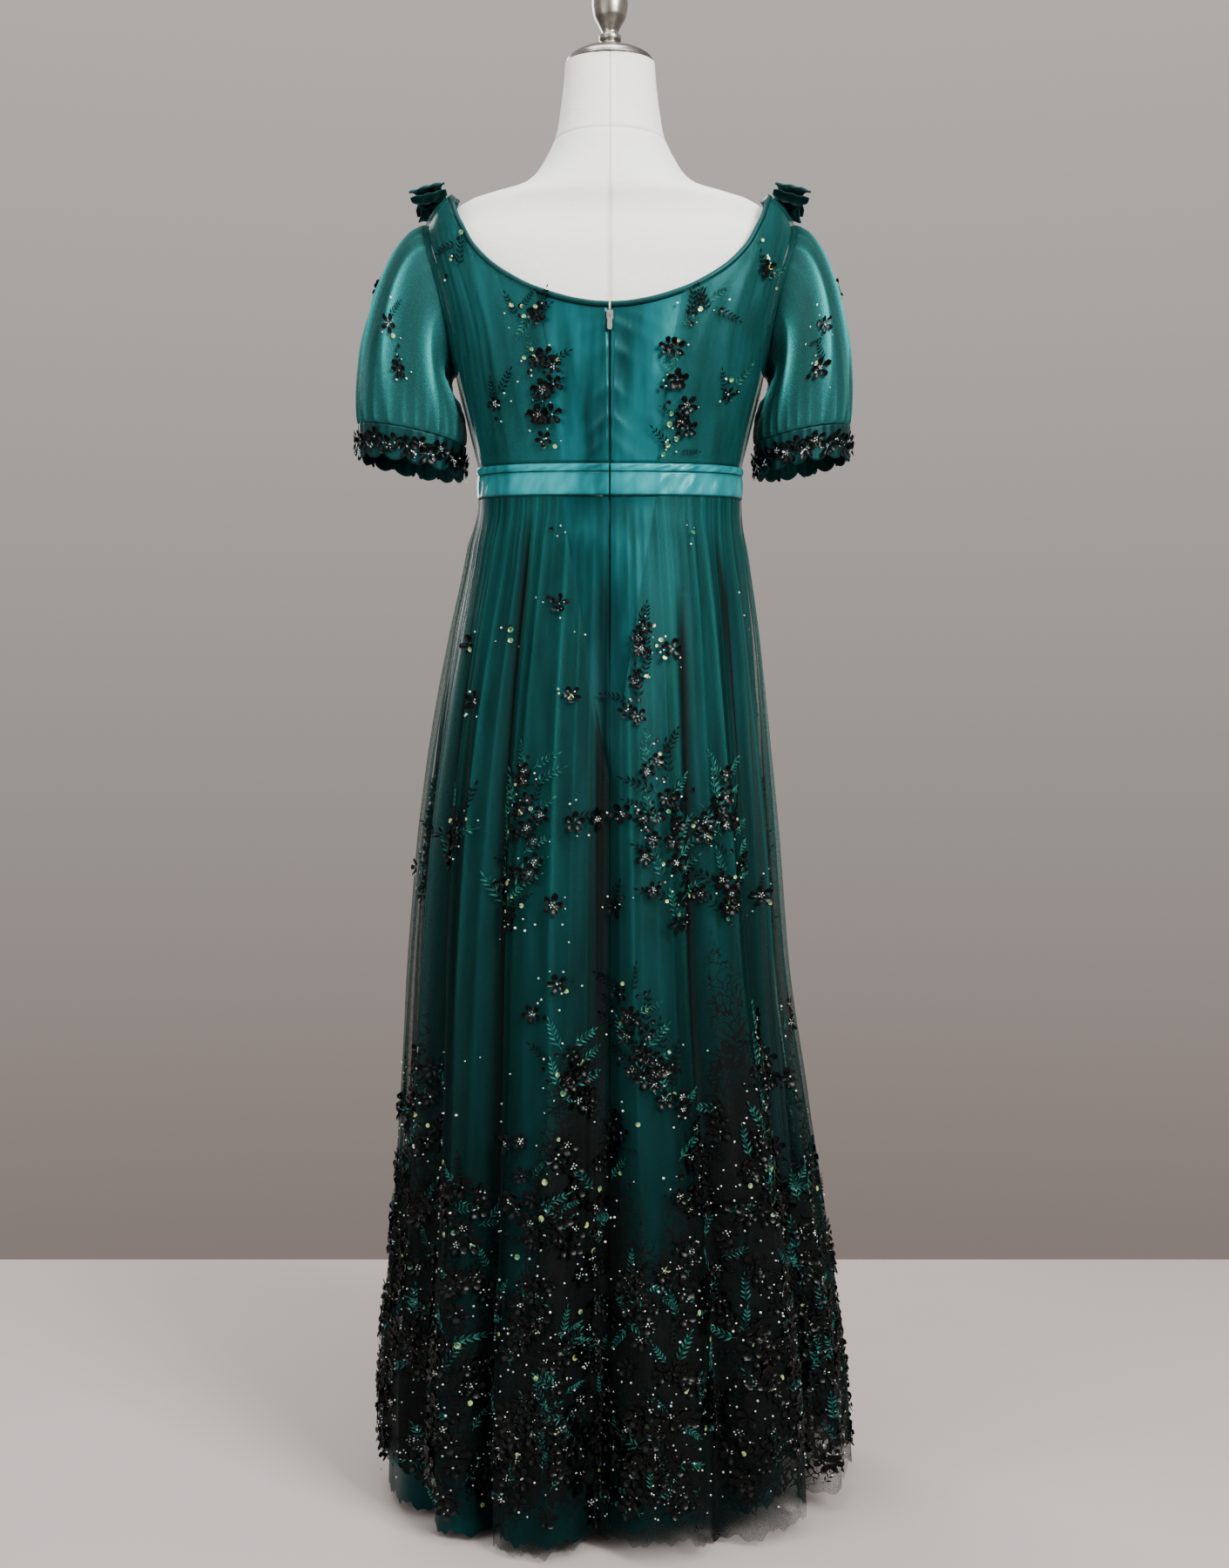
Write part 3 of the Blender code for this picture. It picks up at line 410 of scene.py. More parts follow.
NET_SHARP, SATIN_SHARP = 2.1, 1.9  # how narrow the troughs of each layer are


def net_waves(angle, drop):
    """Turns of the net's gathers round the body: the fine, the middling and the broad ones."""
    fine = uneven(angle * 126 / 360, 0.7)
    middle = uneven(angle * 61 / 360 + 0.10 * drop, 2.9)
    return fine, middle, uneven(angle * 29 / 360 - 0.25 * drop, 4.4)


def net_gathers(angle, height):
    """The net's gathers: fine under the band, fewer and broader towards the hem."""
    drop = skirt_top(angle) - height
    fine, middle, broad = net_waves(angle, drop)
    fine = crests(fine) * 0.0021 * np.exp(-drop / 0.075)
    middle = crests(middle, 1.9)
    strength = 0.65 + 0.35 * np.sin(angle * 0.21 + 5.0 * drop)
    broad = crests(broad, 1.5)
    grown = eased_in(drop / 0.07)
    return (
        fine
        + middle * strength * 0.0050 * grown * np.exp(-drop / 0.62)
        + broad * 0.0060 * eased_in(drop / 0.35) - 0.0025 * grown
    )


def net_crest(angle, height):
    """1 along the crests of the net's gathers, where it is seen double and its material paints a
    highlight, falling to 0 beside them.
    """
    drop = skirt_top(angle) - height
    fine, middle, broad = net_waves(angle, drop)
    fine = crests(fine, 2.6) * np.exp(-drop / 0.10)
    middle = crests(middle, 2.8) * np.exp(-drop / 0.80)
    return np.maximum(np.maximum(0.6 * fine, 0.8 * middle), crests(broad, 3.6))


def net_skirt(angle, height):
    return skirt(angle, height, -net_gathers(angle, height), 1.0, NET_EASE, NET_SHARP)


def satin_inset(angle, height):
    """How far the underskirt hangs inside the outline, most at the lower right."""
    drop = within((1.072 - height) / 1.072)
    lean = np.maximum(0.0, np.cos(np.radians(angle - 172.0))) ** 3
    swung = 0.034 * lean * within((0.62 - height) / 0.5)
    return 0.0038 + 0.0075 * np.minimum(1.0, drop * 4.0) + swung


def satin_gathers(angle, height):
    drop = skirt_top(angle) - height
    fine = crests(uneven(angle * 74 / 360, 1.3), 1.3) * 0.0012 * np.exp(-drop / 0.10)
    slow = 0.0020 * np.sin(np.radians(angle * 17) + 3.0 * drop) * np.sin(np.radians(angle * 5) + 1.0)
    return fine + slow * eased_in(drop / 0.2)


def satin_skirt(angle, height):
    inset = satin_inset(angle, height) - satin_gathers(angle, height)
    return skirt(angle, height, inset, 0.86, SATIN_EASE, SATIN_SHARP)


def armhole(swing, turn, inside):
    """(swing, height) at a turn round an armhole, a little inside its edge."""
    t = np.radians(turn)
    share = 1.0 - inside / ARMHOLE_HALF_HEIGHT
    return share * swing * np.sin(t), ARMHOLE_CENTRE + share * ARMHOLE_HALF_HEIGHT * np.cos(t)


# ---------------------------------------------------------------- mesh making
def new_piece(name, points, faces, material):
    """A smooth mesh of faces that all have as many sides, fixed to the root body."""
    points = np.asarray(points, dtype=np.float32).reshape(-1, 3)
    faces = np.asarray(faces, dtype=np.int32)
    mesh = bpy.data.meshes.new(name)
    mesh.vertices.add(len(points))
    mesh.vertices.foreach_set("co", points.ravel())
    sides = faces.shape[1]
    mesh.loops.add(faces.size)
    mesh.loops.foreach_set("vertex_index", faces.ravel())
    mesh.polygons.add(len(faces))
    mesh.polygons.foreach_set("loop_start", np.arange(0, faces.size, sides, dtype=np.int32))
    mesh.polygons.foreach_set("loop_total", np.full(len(faces), sides, dtype=np.int32))
    mesh.update(calc_edges=True)
    mesh.shade_smooth()
    mesh.materials.append(material)
    piece = bpy.data.objects.new(name, mesh)
    bpy.context.scene.collection.objects.link(piece)
    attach(piece, "root")
    return piece


def grid_faces(rows, columns, ring=False):
    """The quads of a grid of points, closed round into a ring if asked."""
    spans = columns if ring else columns - 1
    r, c = np.meshgrid(np.arange(rows - 1), np.arange(spans), indexing="ij")
    here, above = r * columns, (r + 1) * columns
    d = (c + 1) % columns
    return np.stack([here + c, here + d, above + d, above + c], -1).reshape(-1, 4)


def sheet_piece(name, grid, material, ring=False, thick=0.0, outward=True):
    """A cloth piece through a grid of points, rows by columns, with a thickness if one is given."""
    rows, columns = grid.shape[:2]
    faces = grid_faces(rows, columns, ring)
    piece = new_piece(name, grid, faces if outward else faces[:, ::-1], material)
    if thick:
        solid = piece.modifiers.new("Thickness", "SOLIDIFY")
        solid.thickness = thick
        solid.offset = -1.0
    return piece


def stands_for(piece, slot, *nodes):
    """Puts a piece in place of its CAD nodes by hiding them; slot is not used."""
    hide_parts(*nodes)
    return piece


def keep_on_points(piece, **values):
    """Stores a number a point, for the material to read."""
    for name, numbers in values.items():
        kept = piece.data.attributes.new(name, "FLOAT", "POINT")
        kept.data.foreach_set("value", np.asarray(numbers, dtype=np.float32).ravel())


def grid_area(grid):
    """The area of a grid's quads."""
    a = np.cross(grid[1:, 1:] - grid[:-1, :-1], grid[1:, :-1] - grid[:-1, 1:])
    return float(np.linalg.norm(a, axis=-1).sum() / 2)


def declare(piece, grid, held, ring=False):
    """Works out a sheet's cut: as wide and long as the longest lines across and down it, and a little
    fuller where finer gathers than these take up cloth.  Nothing is kept or used of it."""
    closed = np.concatenate([grid, grid[:, :1]], axis=1) if ring else grid
    across = np.linalg.norm(np.diff(closed, axis=1), axis=-1).sum(axis=1).max()
    down = np.linalg.norm(np.diff(grid, axis=0), axis=-1).sum(axis=0).max()
    full = GATHER_FULLNESS if held == "gathered" else 1.0
    width, length = round(float(across) * full, 3), round(float(down), 3)
    area = round(min(grid_area(closed) * full, width * length), 4)


# ---------------------------------------------------------------- materials
class Nodes:
    """A material's node tree, with short calls for adding and joining nodes."""

    def __init__(self, name, world=False):
        self.material = (bpy.data.worlds if world else bpy.data.materials).new(name)
        self.material.use_nodes = True
        self.tree = self.material.node_tree
        self.shader = self.tree.nodes["Background" if world else "Principled BSDF"]

    def add(self, kind, **values):
        made = self.tree.nodes.new(kind)
        for key, value in values.items():
            if key in made.inputs:
                made.inputs[key].default_value = value
            else:
                setattr(made, key, value)
        return made

    def join(self, source, target):
        self.tree.links.new(source, target)

    def set(self, **values):
        for key, value in values.items():
            self.shader.inputs[key.replace("_", " ")].default_value = value

    def place(self, scale=(1.0, 1.0, 1.0)):
        """Object coordinates, which are metres in the CAD's frame, stretched by a scale."""
        coords = self.add("ShaderNodeTexCoord")
        mapping = self.add("ShaderNodeMapping")
        mapping.inputs["Scale"].default_value = scale
        self.join(coords.outputs["Object"], mapping.inputs["Vector"])
        return mapping.outputs["Vector"]

    def noise(self, scale, detail=3.0, stretch=(1.0, 1.0, 1.0)):
        made = self.add("ShaderNodeTexNoise", Scale=scale, Detail=detail)
        self.join(self.place(stretch), made.inputs["Vector"])
        return made.outputs["Fac"]

    def spread(self, value, low, high, to_low=0.0, to_high=1.0):
        made = self.add("ShaderNodeMapRange")
        made.inputs["From Min"].default_value = low
        made.inputs["From Max"].default_value = high
        made.inputs["To Min"].default_value = to_low
        made.inputs["To Max"].default_value = to_high
        self.join(value, made.inputs["Value"])
        return made.outputs["Result"]

    def maths(self, operation, a, b):
        made = self.add("ShaderNodeMath", operation=operation)
        for socket, value in zip(made.inputs, (a, b)):
            if isinstance(value, (int, float)):
                socket.default_value = value
            else:
                self.join(value, socket)
        return made.outputs["Value"]

    def blend(self, factor, a, b):
        """A colour between a and b; each is a colour or another node's output."""
        made = self.add("ShaderNodeMix", data_type="RGBA")
        self.join(factor, made.inputs[0])
        for socket, value in ((made.inputs[6], a), (made.inputs[7], b)):
            if isinstance(value, tuple):
                socket.default_value = (*value, 1.0)
            else:
                self.join(value, socket)
        return made.outputs[2]

    def bump(self, *layers):
        """Bumps on top of each other, from (height output, strength, distance in metres)."""
        normal = None
        for height, strength, distance in layers:
            made = self.add("ShaderNodeBump", Strength=strength, Distance=distance)
            self.join(height, made.inputs["Height"])
            if normal:
                self.join(normal, made.inputs["Normal"])
            normal = made.outputs["Normal"]
        self.join(normal, self.shader.inputs["Normal"])

    def height(self):
        coords = self.add("ShaderNodeTexCoord")
        split = self.add("ShaderNodeSeparateXYZ")
        self.join(coords.outputs["Object"], split.inputs["Vector"])
        return split.outputs["Z"]

    def attribute(self, name):
        """A value kept on the mesh's points, such as how much painted shade each one gets down in a fold.
        """
        made = self.add("ShaderNodeAttribute", attribute_name=name)
        return made.outputs["Fac"]

    def colour(self, source):
        self.join(source, self.shader.inputs["Base Color"])


def scaled(colour, factor):
    return tuple(value * factor for value in colour)


def satin_material(name, dark, light, roughness, crumple, gloss=0.42, colour_kept_in_hem_shade=1.0):
    """Satin: painted streaks of sheen and shade along the drape, a soft gloss, shallow creases, and a
    deeper painted shade down in the folds.  Its last argument is how much of its colour a painted shade
    leaves near the hem."""
    n = Nodes(name)
    # Streaks of painted sheen and shade along the drape.
    broad, narrow = n.noise(9.0, 4.0, (1.0, 1.0, 0.35)), n.noise(48.0, 2.0, (1.0, 1.0, 0.16))
    painted_sheen_streak = n.spread(n.maths("ADD", broad, narrow), 0.80, 1.22)
    tone = n.blend(painted_sheen_streak, dark, light)
    # Painted shade: the colour darkens towards the hem.
    if colour_kept_in_hem_shade < 1.0:
        hem_shaded = n.blend(painted_sheen_streak, scaled(dark, colour_kept_in_hem_shade), scaled(light, colour_kept_in_hem_shade))
        tone = n.blend(n.spread(n.height(), 0.34, 0.84), hem_shaded, tone)
    # Painted shade in the folds, near black deep in a trough.
    n.colour(n.blend(n.attribute("hollow"), tone, scaled(dark, 0.08)))
    n.set(Roughness=roughness, Sheen_Weight=0.02, Sheen_Roughness=0.35)
    n.set(Sheen_Tint=(0.20, 0.90, 0.88, 1.0), Specular_IOR_Level=gloss)
    n.set(Specular_Tint=(0.22, 0.95, 1.0, 1.0))
    creases = n.noise(26.0, 3.0, (1.0, 1.0, 0.6))
    fibres = n.noise(900.0, 1.0, (1.0, 1.0, 0.25))
    n.bump((creases, crumple, 0.004), (fibres, 0.10, 0.0003))
    return n.material


def net_material(name, cover, dark, light, worked):
    """Sheer net: a fine mesh whose threads cover part of what is under it, thicker where its gathers lie
    in a fold, with painted highlights along the crests of its gathers and painted shade in its folds.
    Where it is worked it darkens towards the hem and has dark thread embroidery, most of it towards the
    hem."""
    n = Nodes(name)
    cell = n.add("ShaderNodeTexVoronoi", Scale=520.0, feature="DISTANCE_TO_EDGE")
    n.join(n.place(), cell.inputs["Vector"])
    threads = n.spread(cell.outputs["Distance"], 0.02, 0.16, 1.0, 0.0)
    shade = n.spread(n.noise(7.0, 4.0, (1.0, 1.0, 0.3)), 0.36, 0.66)
    # Painted highlight: a lighter tint along the crests of the gathers.
    tint = n.blend(n.attribute("crest"), n.blend(shade, dark, light), scaled(light, 2.3))
    if worked:
        # Darker towards the hem.
        tint = n.blend(n.spread(n.height(), 0.84, 0.34), tint, scaled(dark, 0.65))
    # Painted shade in the folds, near black deep in a trough.
    tint = n.blend(n.attribute("hollow"), tint, scaled(dark, 0.08))
    veil = n.spread(threads, 0.0, 1.0, cover - 0.16, cover + 0.22)
    # The net covers more along its crests, where it is seen double, and in its folds, under the painted
    # shade.
    doubled = n.maths("MULTIPLY", n.attribute("crest"), 0.22)
    folded = n.maths("ADD", doubled, n.maths("MULTIPLY", n.attribute("hollow"), 0.62))
    alpha = n.maths("ADD", veil, folded)
    if worked:
        tint, alpha = thread_work(n, tint, alpha)
    n.colour(tint)
    n.join(n.maths("MINIMUM", alpha, 1.0), n.shader.inputs["Alpha"])
    n.set(Roughness=0.70, Sheen_Weight=0.03, Sheen_Roughness=0.30)
    n.set(Sheen_Tint=(0.25, 0.85, 0.80, 1.0), Specular_IOR_Level=0.10)
    n.bump((threads, 0.15, 0.0004))
    return n.material


def thread_work(n, tint, alpha):
    """A net's colour and cover with dark thread worked over it: patchy soft beds of thread and
    a tangle of lines, as thick as the mesh's points say."""
    thick = n.attribute("worked")
    vines = n.add("ShaderNodeTexVoronoi", Scale=85.0, feature="DISTANCE_TO_EDGE")
    bent = n.add("ShaderNodeTexNoise", Scale=34.0, Detail=3.0)
    n.join(n.place(), bent.inputs["Vector"])
    pushed = n.add("ShaderNodeVectorMath", operation="MULTIPLY_ADD")
    n.join(bent.outputs["Color"], pushed.inputs[0])
    pushed.inputs[1].default_value = (0.05, 0.05, 0.05)
    n.join(n.place(), pushed.inputs[2])
    n.join(pushed.outputs["Vector"], vines.inputs["Vector"])
    line = n.maths("LESS_THAN", vines.outputs["Distance"], n.maths("MULTIPLY", thick, 0.15))
    patchy = n.maths("ADD", n.maths("MULTIPLY", thick, 0.34), n.noise(10.0, 5.0, (1.0, 1.0, 0.45)))
    bed = n.maths("MULTIPLY", thick, n.spread(patchy, 0.62, 0.86))
    mark = n.maths("MULTIPLY", line, n.spread(patchy, 0.58, 0.66))
    tint = n.blend(n.maths("MULTIPLY", thick, 0.72), tint, (0.0008, 0.012, 0.011))
    tint = n.blend(n.maths("MAXIMUM", mark, bed), tint, (0.0006, 0.0014, 0.0013))
    alpha = n.maths("ADD", alpha, n.maths("MULTIPLY", thick, 0.10))
    alpha = n.maths("ADD", alpha, n.maths("MULTIPLY", bed, 0.40))
    return tint, n.maths("MAXIMUM", alpha, n.maths("MULTIPLY", mark, 0.97))


def velvet_material():
    """Velvet: near black face on, with a pile that pales at a slant."""
    n = Nodes("ribbon_velvet")
    pile = n.noise(700.0, 2.0)
    shade = n.spread(n.noise(60.0), 0.35, 0.65)
    n.colour(n.blend(shade, (0.0008, 0.0060, 0.0065), (0.003, 0.022, 0.023)))
    n.set(Roughness=0.9, Sheen_Weight=0.75, Sheen_Roughness=0.35, Specular_IOR_Level=0.1)
    n.set(Sheen_Tint=(0.10, 0.42, 0.42, 1.0))
    n.bump((pile, 0.5, 0.0006), (n.noise(90.0), 0.35, 0.002))
    return n.material


def linen_material():
    """Plain-weave linen with uneven threads."""
    n = Nodes("form_linen")
    threads = []
    for stretch in ((1.0, 1.0, 0.04), (0.05, 0.05, 1.0)):
        threads.append(n.noise(1300.0, 2.0, stretch))
    weave = n.maths("ADD", threads[0], threads[1])
    slub = n.noise(240.0, 2.0, (1.0, 1.0, 0.08))
    cloth = n.blend(n.spread(weave, 0.7, 1.3), (0.86, 0.87, 0.80), (0.97, 0.97, 0.92))
    n.colour(n.blend(n.attribute("hollow"), cloth, (0.66, 0.65, 0.59)))
    n.set(Roughness=0.88, Sheen_Weight=0.15, Specular_IOR_Level=0.2)
    n.bump((weave, 0.35, 0.0006), (slub, 0.15, 0.0008))
    return n.material


def metal_material(name, dark, light, roughness, metallic=1.0, scale=40.0):
    """Plated metal, duller and darker in patches."""
    n = Nodes(name)
    wear = n.spread(n.noise(scale, 5.0), 0.35, 0.70)
    n.colour(n.blend(wear, dark, light))
    n.set(Metallic=metallic)
    n.join(n.spread(wear, 0.0, 1.0, roughness + 0.14, roughness), n.shader.inputs["Roughness"])
    n.bump((n.noise(scale * 9, 3.0), 0.08, 0.0004))
    return n.material


def spangle_material(name, dark, light, roughness, gloss):
    """Sequins and beads: glossy, with a colour that shifts a little from one to the next."""
    n = Nodes(name)
    n.colour(n.blend(n.spread(n.noise(140.0, 1.0), 0.42, 0.60), dark, light))
    n.set(Roughness=roughness, Specular_IOR_Level=gloss, Coat_Weight=0.4 * gloss, Coat_Roughness=0.08)
    n.bump((n.noise(600.0, 1.0), 0.12, 0.0003))
    return n.material


SATIN = satin_material("gown_satin", (0.0004, 0.014, 0.015), (0.0044, 0.092, 0.102), 0.34, 0.40)
# The underskirt's satin keeps 0.40 of its colour under the painted shade near the hem.
PLEATED_SATIN = satin_material(
    "underskirt_satin", (0.0002, 0.012, 0.013), (0.0010, 0.050, 0.054), 0.42, 0.20, 0.20, 0.40
)
BAND_SATIN = satin_material("band_satin", (0.003, 0.080, 0.086), (0.016, 0.250, 0.280), 0.30, 0.45)
BINDING = satin_material("binding_satin", (0.001, 0.010, 0.010), (0.004, 0.028, 0.028), 0.45, 0.10)
SKIRT_NET = net_material("skirt_net", 0.34, (0.0003, 0.018, 0.016), (0.0012, 0.046, 0.042), True)
BODICE_NET = net_material("bodice_net", 0.42, (0.0014, 0.044, 0.039), (0.0080, 0.115, 0.112), False)
SLEEVE_NET = net_material("sleeve_net", 0.60, (0.0040, 0.060, 0.055), (0.022, 0.180, 0.178), False)
LACE = satin_material("cuff_lace", (0.0004, 0.003, 0.003), (0.0022, 0.026, 0.025), 0.5, 0.4)
VELVET = velvet_material()
LINEN = linen_material()
NICKEL = metal_material("antique_nickel", (0.20, 0.185, 0.160), (0.52, 0.50, 0.46), 0.24)
ZIP_METAL = metal_material("zip_nickel", (0.50, 0.50, 0.50), (0.78, 0.78, 0.76), 0.18)
FOOT = metal_material("foot_paint", (0.030, 0.028, 0.026), (0.060, 0.056, 0.050), 0.45, 0.3)
BLACK = spangle_material("black_sequin", (0.0002, 0.0005, 0.0005), (0.0004, 0.0014, 0.0013), 0.30, 0.10)
GREEN = spangle_material("green_sequin", (0.020, 0.130, 0.060), (0.42, 0.50, 0.16), 0.18, 0.7)
BEAD = spangle_material("silver_bead", (0.25, 0.38, 0.36), (0.92, 0.96, 0.93), 0.10, 0.9)
LEAF = spangle_material("leaf_thread", (0.0030, 0.042, 0.034), (0.0180, 0.130, 0.108), 0.60, 0.08)
DARK_LEAF = spangle_material("dark_thread", (0.0003, 0.0016, 0.0015), (0.0008, 0.0050, 0.0045), 0.60, 0.06)


# ---------------------------------------------------------------- bodice
def quarter_angle(quarter, swing):
    """The angle round the body of a swing, which runs in each quarter from 0 at the side to 90
    at the centre line."""
    return {
        "back_left": swing,
        "back_right": 180.0 - swing,
        "front_left": 360.0 - swing,
        "front_right": 180.0 + swing,
    }[quarter]


def centre_swing(quarter, height):
    """The swing of a quarter's centre edge, which stops short of the zip at the back."""
    if quarter.startswith("front"):
        return 90.0 + 0.0 * height
    width = curve(BODY, "height", "half_width", height)
    return 90.0 - np.degrees(ZIP_HALF_GAP / width)


def neckline(quarter, shares):
    """Rows of (swing, height) at shares of the neckline, from the centre to the shoulder."""
    rows = NECK_BACK if quarter.startswith("back") else NECK_FRONT
    first = float(centre_swing(quarter, rows["height"][0]))
    swings = first * (1 - np.linspace(0.0, 1.0, 361))
    heights = curve(rows, "swing", "height", swings)
    spots = body(quarter_angle(quarter, swings), heights)
    lengths = np.concatenate([[0.0], np.cumsum(np.linalg.norm(np.diff(spots, axis=0), axis=1))])
    lengths /= lengths[-1]
    return np.stack([np.interp(shares, lengths, swings), np.interp(shares, lengths, heights)], -1)


def relaxed(grid, held, turns):
    """The CAD's spreading of a bodice patch by Winslow's equations, at any fineness."""
    grid = grid * (SWING_LENGTH, 1.0)
    kept = grid[:, held].copy()
    for _ in range(turns):
        across = (grid[1:-1, 2:] - grid[1:-1, :-2]) / 2
        along = (grid[2:, 1:-1] - grid[:-2, 1:-1]) / 2
        twist = (grid[2:, 2:] - grid[2:, :-2] - grid[:-2, 2:] + grid[:-2, :-2]) / 4
        a, b, c = (
            (first * second).sum(axis=2, keepdims=True)
            for first, second in ((along, along), (across, along), (across, across))
        )
        sides = a * (grid[1:-1, 2:] + grid[1:-1, :-2]) + c * (grid[2:, 1:-1] + grid[:-2, 1:-1])
        grid[1:-1, 1:-1] = (sides - 2 * b * twist) / (2 * (a + c))
        grid[:, held] = kept
    return grid / (SWING_LENGTH, 1.0)


FINER = 7  # steps of these surfaces to each of the CAD's


def split_steps(steps):
    steps = np.asarray(steps)
    inner = [a + (b - a) * np.arange(FINER) / FINER for a, b in zip(steps, steps[1:])]
    return np.concatenate(inner + [steps[-1:]])


def bodice_patch(quarter):
    """(swing, height) over a quarter of the bodice, rows from the waist seam up."""
    swing = ARMHOLE_BACK_SWING if quarter.startswith("back") else ARMHOLE_FRONT_SWING
    across = split_steps([NECK_SHARE * s for s in NECK_STEPS] + [1.0])
    up = split_steps([0.0, SEAM_SHARE / 2] + [SEAM_SHARE + (1 - SEAM_SHARE) * k / 8 for k in range(9)])
    tip = np.array([0.0, SHOULDER_TIP_HEIGHT])
    neck_end = np.array([0.0, SHOULDER_NECK_HEIGHT])
    over = within((across - NECK_SHARE) / (1 - NECK_SHARE))[:, None]
    edge = neckline(quarter, within(across / NECK_SHARE))
    top = np.where(over > 0, neck_end + (tip - neck_end) * over, edge)
    underarm = ARMHOLE_CENTRE - ARMHOLE_HALF_HEIGHT

    def hem(swing_in):
        return np.stack([swing_in, waist_seam(quarter_angle(quarter, swing_in)) + SEAM_GAP], -1)

    def centre(v):
        height = hem(np.array(90.0))[1] * (1 - v) + top[0][1] * v
        return np.stack([centre_swing(quarter, height), height], -1)

    def side(v):
        low = hem(np.array(0.0))[1]
        seam = np.stack([0.0 * v, low + (underarm - low) * v / SEAM_SHARE], -1)
        turn = 180.0 * (1 - (v - SEAM_SHARE) / (1 - SEAM_SHARE))
        hole = np.stack(armhole(swing, turn, 0.0), -1)
        return np.where((v <= SEAM_SHARE)[..., None], seam, hole)

    below = hem(centre(np.array(0.0))[0] * (1 - across))[None]
    pull = (across**3.8)[None, :, None]
    ends = [(1 - pull) * centre(np.array(e)) + pull * side(np.array(e)) for e in (0.0, 1.0)]
    along = (1 - pull) * centre(up)[:, None] + pull * side(up)[:, None]
    v = up[:, None, None]
    start = (1 - v) * (below - ends[0]) + v * (top[None] - ends[1]) + along
    return relaxed(start, NET_STARTS_AT * FINER, 900), across, up


def bodice_grid(quarter, patch, ease):
    angles = quarter_angle(quarter, patch[..., 0])
    return on_body(angles, patch[..., 1], ease)


def satin_relief(across, up, back):
    """Soft drag folds in the satin: upright ones, and slanting ones beside the zip."""
    u, v = across[None, :], up[:, None]
    upright = 0.0012 * np.sin(2 * np.pi * (u * 5.3 + 0.4 * np.sin(2.6 * v))) * np.sin(np.pi * v)
    slant = crests(uneven(v * 6.0 + u * 7.5, 1.9), 1.4) * 0.0011 * np.exp(-((u / 0.13) ** 2))
    waist = crests(uneven(u * 31.0, 0.4), 1.4) * 0.0008 * np.exp(-v / 0.10)
    return (upright + (slant if back else 0.0) + waist) * within(v * 14) * within((1 - v) * 14)


def net_relief(across, up):
    """The bodice net's gathers, from the neckline and shoulder down to the waist."""
    u, v = across[None, :], up[:, None]
    fine = crests(uneven(u * 34.0 + 0.3 * v, 3.1), 2.2) * 0.0022
    broad = crests(uneven(u * 13.0 - 0.5 * v, 0.9), 1.6) * 0.0036
    return (fine * (0.35 + 0.65 * np.abs(2 * v - 1)) + broad * np.sin(np.pi * v)) * within(v * 10)


def build_bodice():
    grids = {}
    for quarter in QUARTERS:
        patch, across, up = bodice_patch(quarter)
        under = SATIN_EASE + satin_relief(across, up, quarter.startswith("back")) - SATIN_THICK
        over = NET_EASE + 0.0002 + net_relief(across, up)
        grids[quarter] = bodice_grid(quarter, patch, under), bodice_grid(quarter, patch, over)
    for side in ("left", "right"):
        satin, net = grids["back_" + side]
        net = net[:, NET_STARTS_AT * FINER:]
        flip = side == "left"
        name = "satin_bodice_back_" + side
        piece = sheet_piece(name, satin, SATIN, thick=SATIN_THICK, outward=not flip)
        stands_for(piece, "satin", "bodice_back_" + side)
        declare(piece, satin, "stretched")
        piece = sheet_piece("net_over_bodice_back_" + side, net, BODICE_NET, outward=not flip)
        stands_for(piece, "net", "net_bodice_back_" + side)
        declare(piece, net, "gathered")
    left, right = grids["front_left"], grids["front_right"]
    satin, net = (np.concatenate([a[:, ::-1], b[:, 1:]], axis=1) for a, b in zip(left, right))
    piece = sheet_piece("satin_bodice_front", satin, SATIN, thick=SATIN_THICK, outward=False)
    declare(stands_for(piece, "satin", "bodice_front"), satin, "stretched")
    piece = sheet_piece("net_over_bodice_front", net, BODICE_NET, outward=False)
    declare(stands_for(piece, "net", "net_bodice_front"), net, "gathered")


# ---------------------------------------------------------------- bands and binding
def close_ends(piece):
    """Fills a tube's open ends and keeps their edges sharp."""
    shape = bmesh.new()
    shape.from_mesh(piece.data)
    bmesh.ops.holes_fill(shape, edges=[e for e in shape.edges if e.is_boundary])
    bmesh.ops.recalc_face_normals(shape, faces=shape.faces)
    shape.to_mesh(piece.data)
    shape.free()
    piece.data.shade_smooth()
    piece.data.set_sharp_from_angle(angle=math.radians(55.0))
    return piece


def build_binding():
    """A narrow rolled strip round the neck edge, in a front and two backs."""
    shares = np.linspace(0.0, 1.0, 61)
    paths = {}
    for quarter in QUARTERS:
        path = neckline(quarter, shares)
        paths[quarter] = np.stack([quarter_angle(quarter, path[:, 0]), path[:, 1]], -1)
    paths["front"] = np.concatenate([paths["front_left"][::-1], paths["front_right"][1:]])
    round_it = np.linspace(0, 2 * np.pi, 10, endpoint=False)
    for name in ("back_left", "back_right", "front"):
        path = paths[name]
        middle = on_body(path[:, 0], path[:, 1], NET_EASE - 0.0012)
        run = unit(np.gradient(middle, axis=0))
        normal = normal_of(body, path[:, 0], path[:, 1])
        up = unit(np.cross(normal, run))
        way = np.sign(up[:, 2] - 0.8 * up[:, 0] * np.sign(middle[:, 0]))[:, None]
        centre = middle + up * way * 0.0024
        ring = (
            centre[:, None]
            + (up * way)[:, None] * (np.cos(round_it) * 0.0030)[None, :, None]
            + normal[:, None] * (np.sin(round_it) * 0.0021)[None, :, None]
        )
        piece = close_ends(sheet_piece("binding_" + name, ring, BINDING, ring=True))
        stands_for(piece, "binding", "neck_binding_" + name)


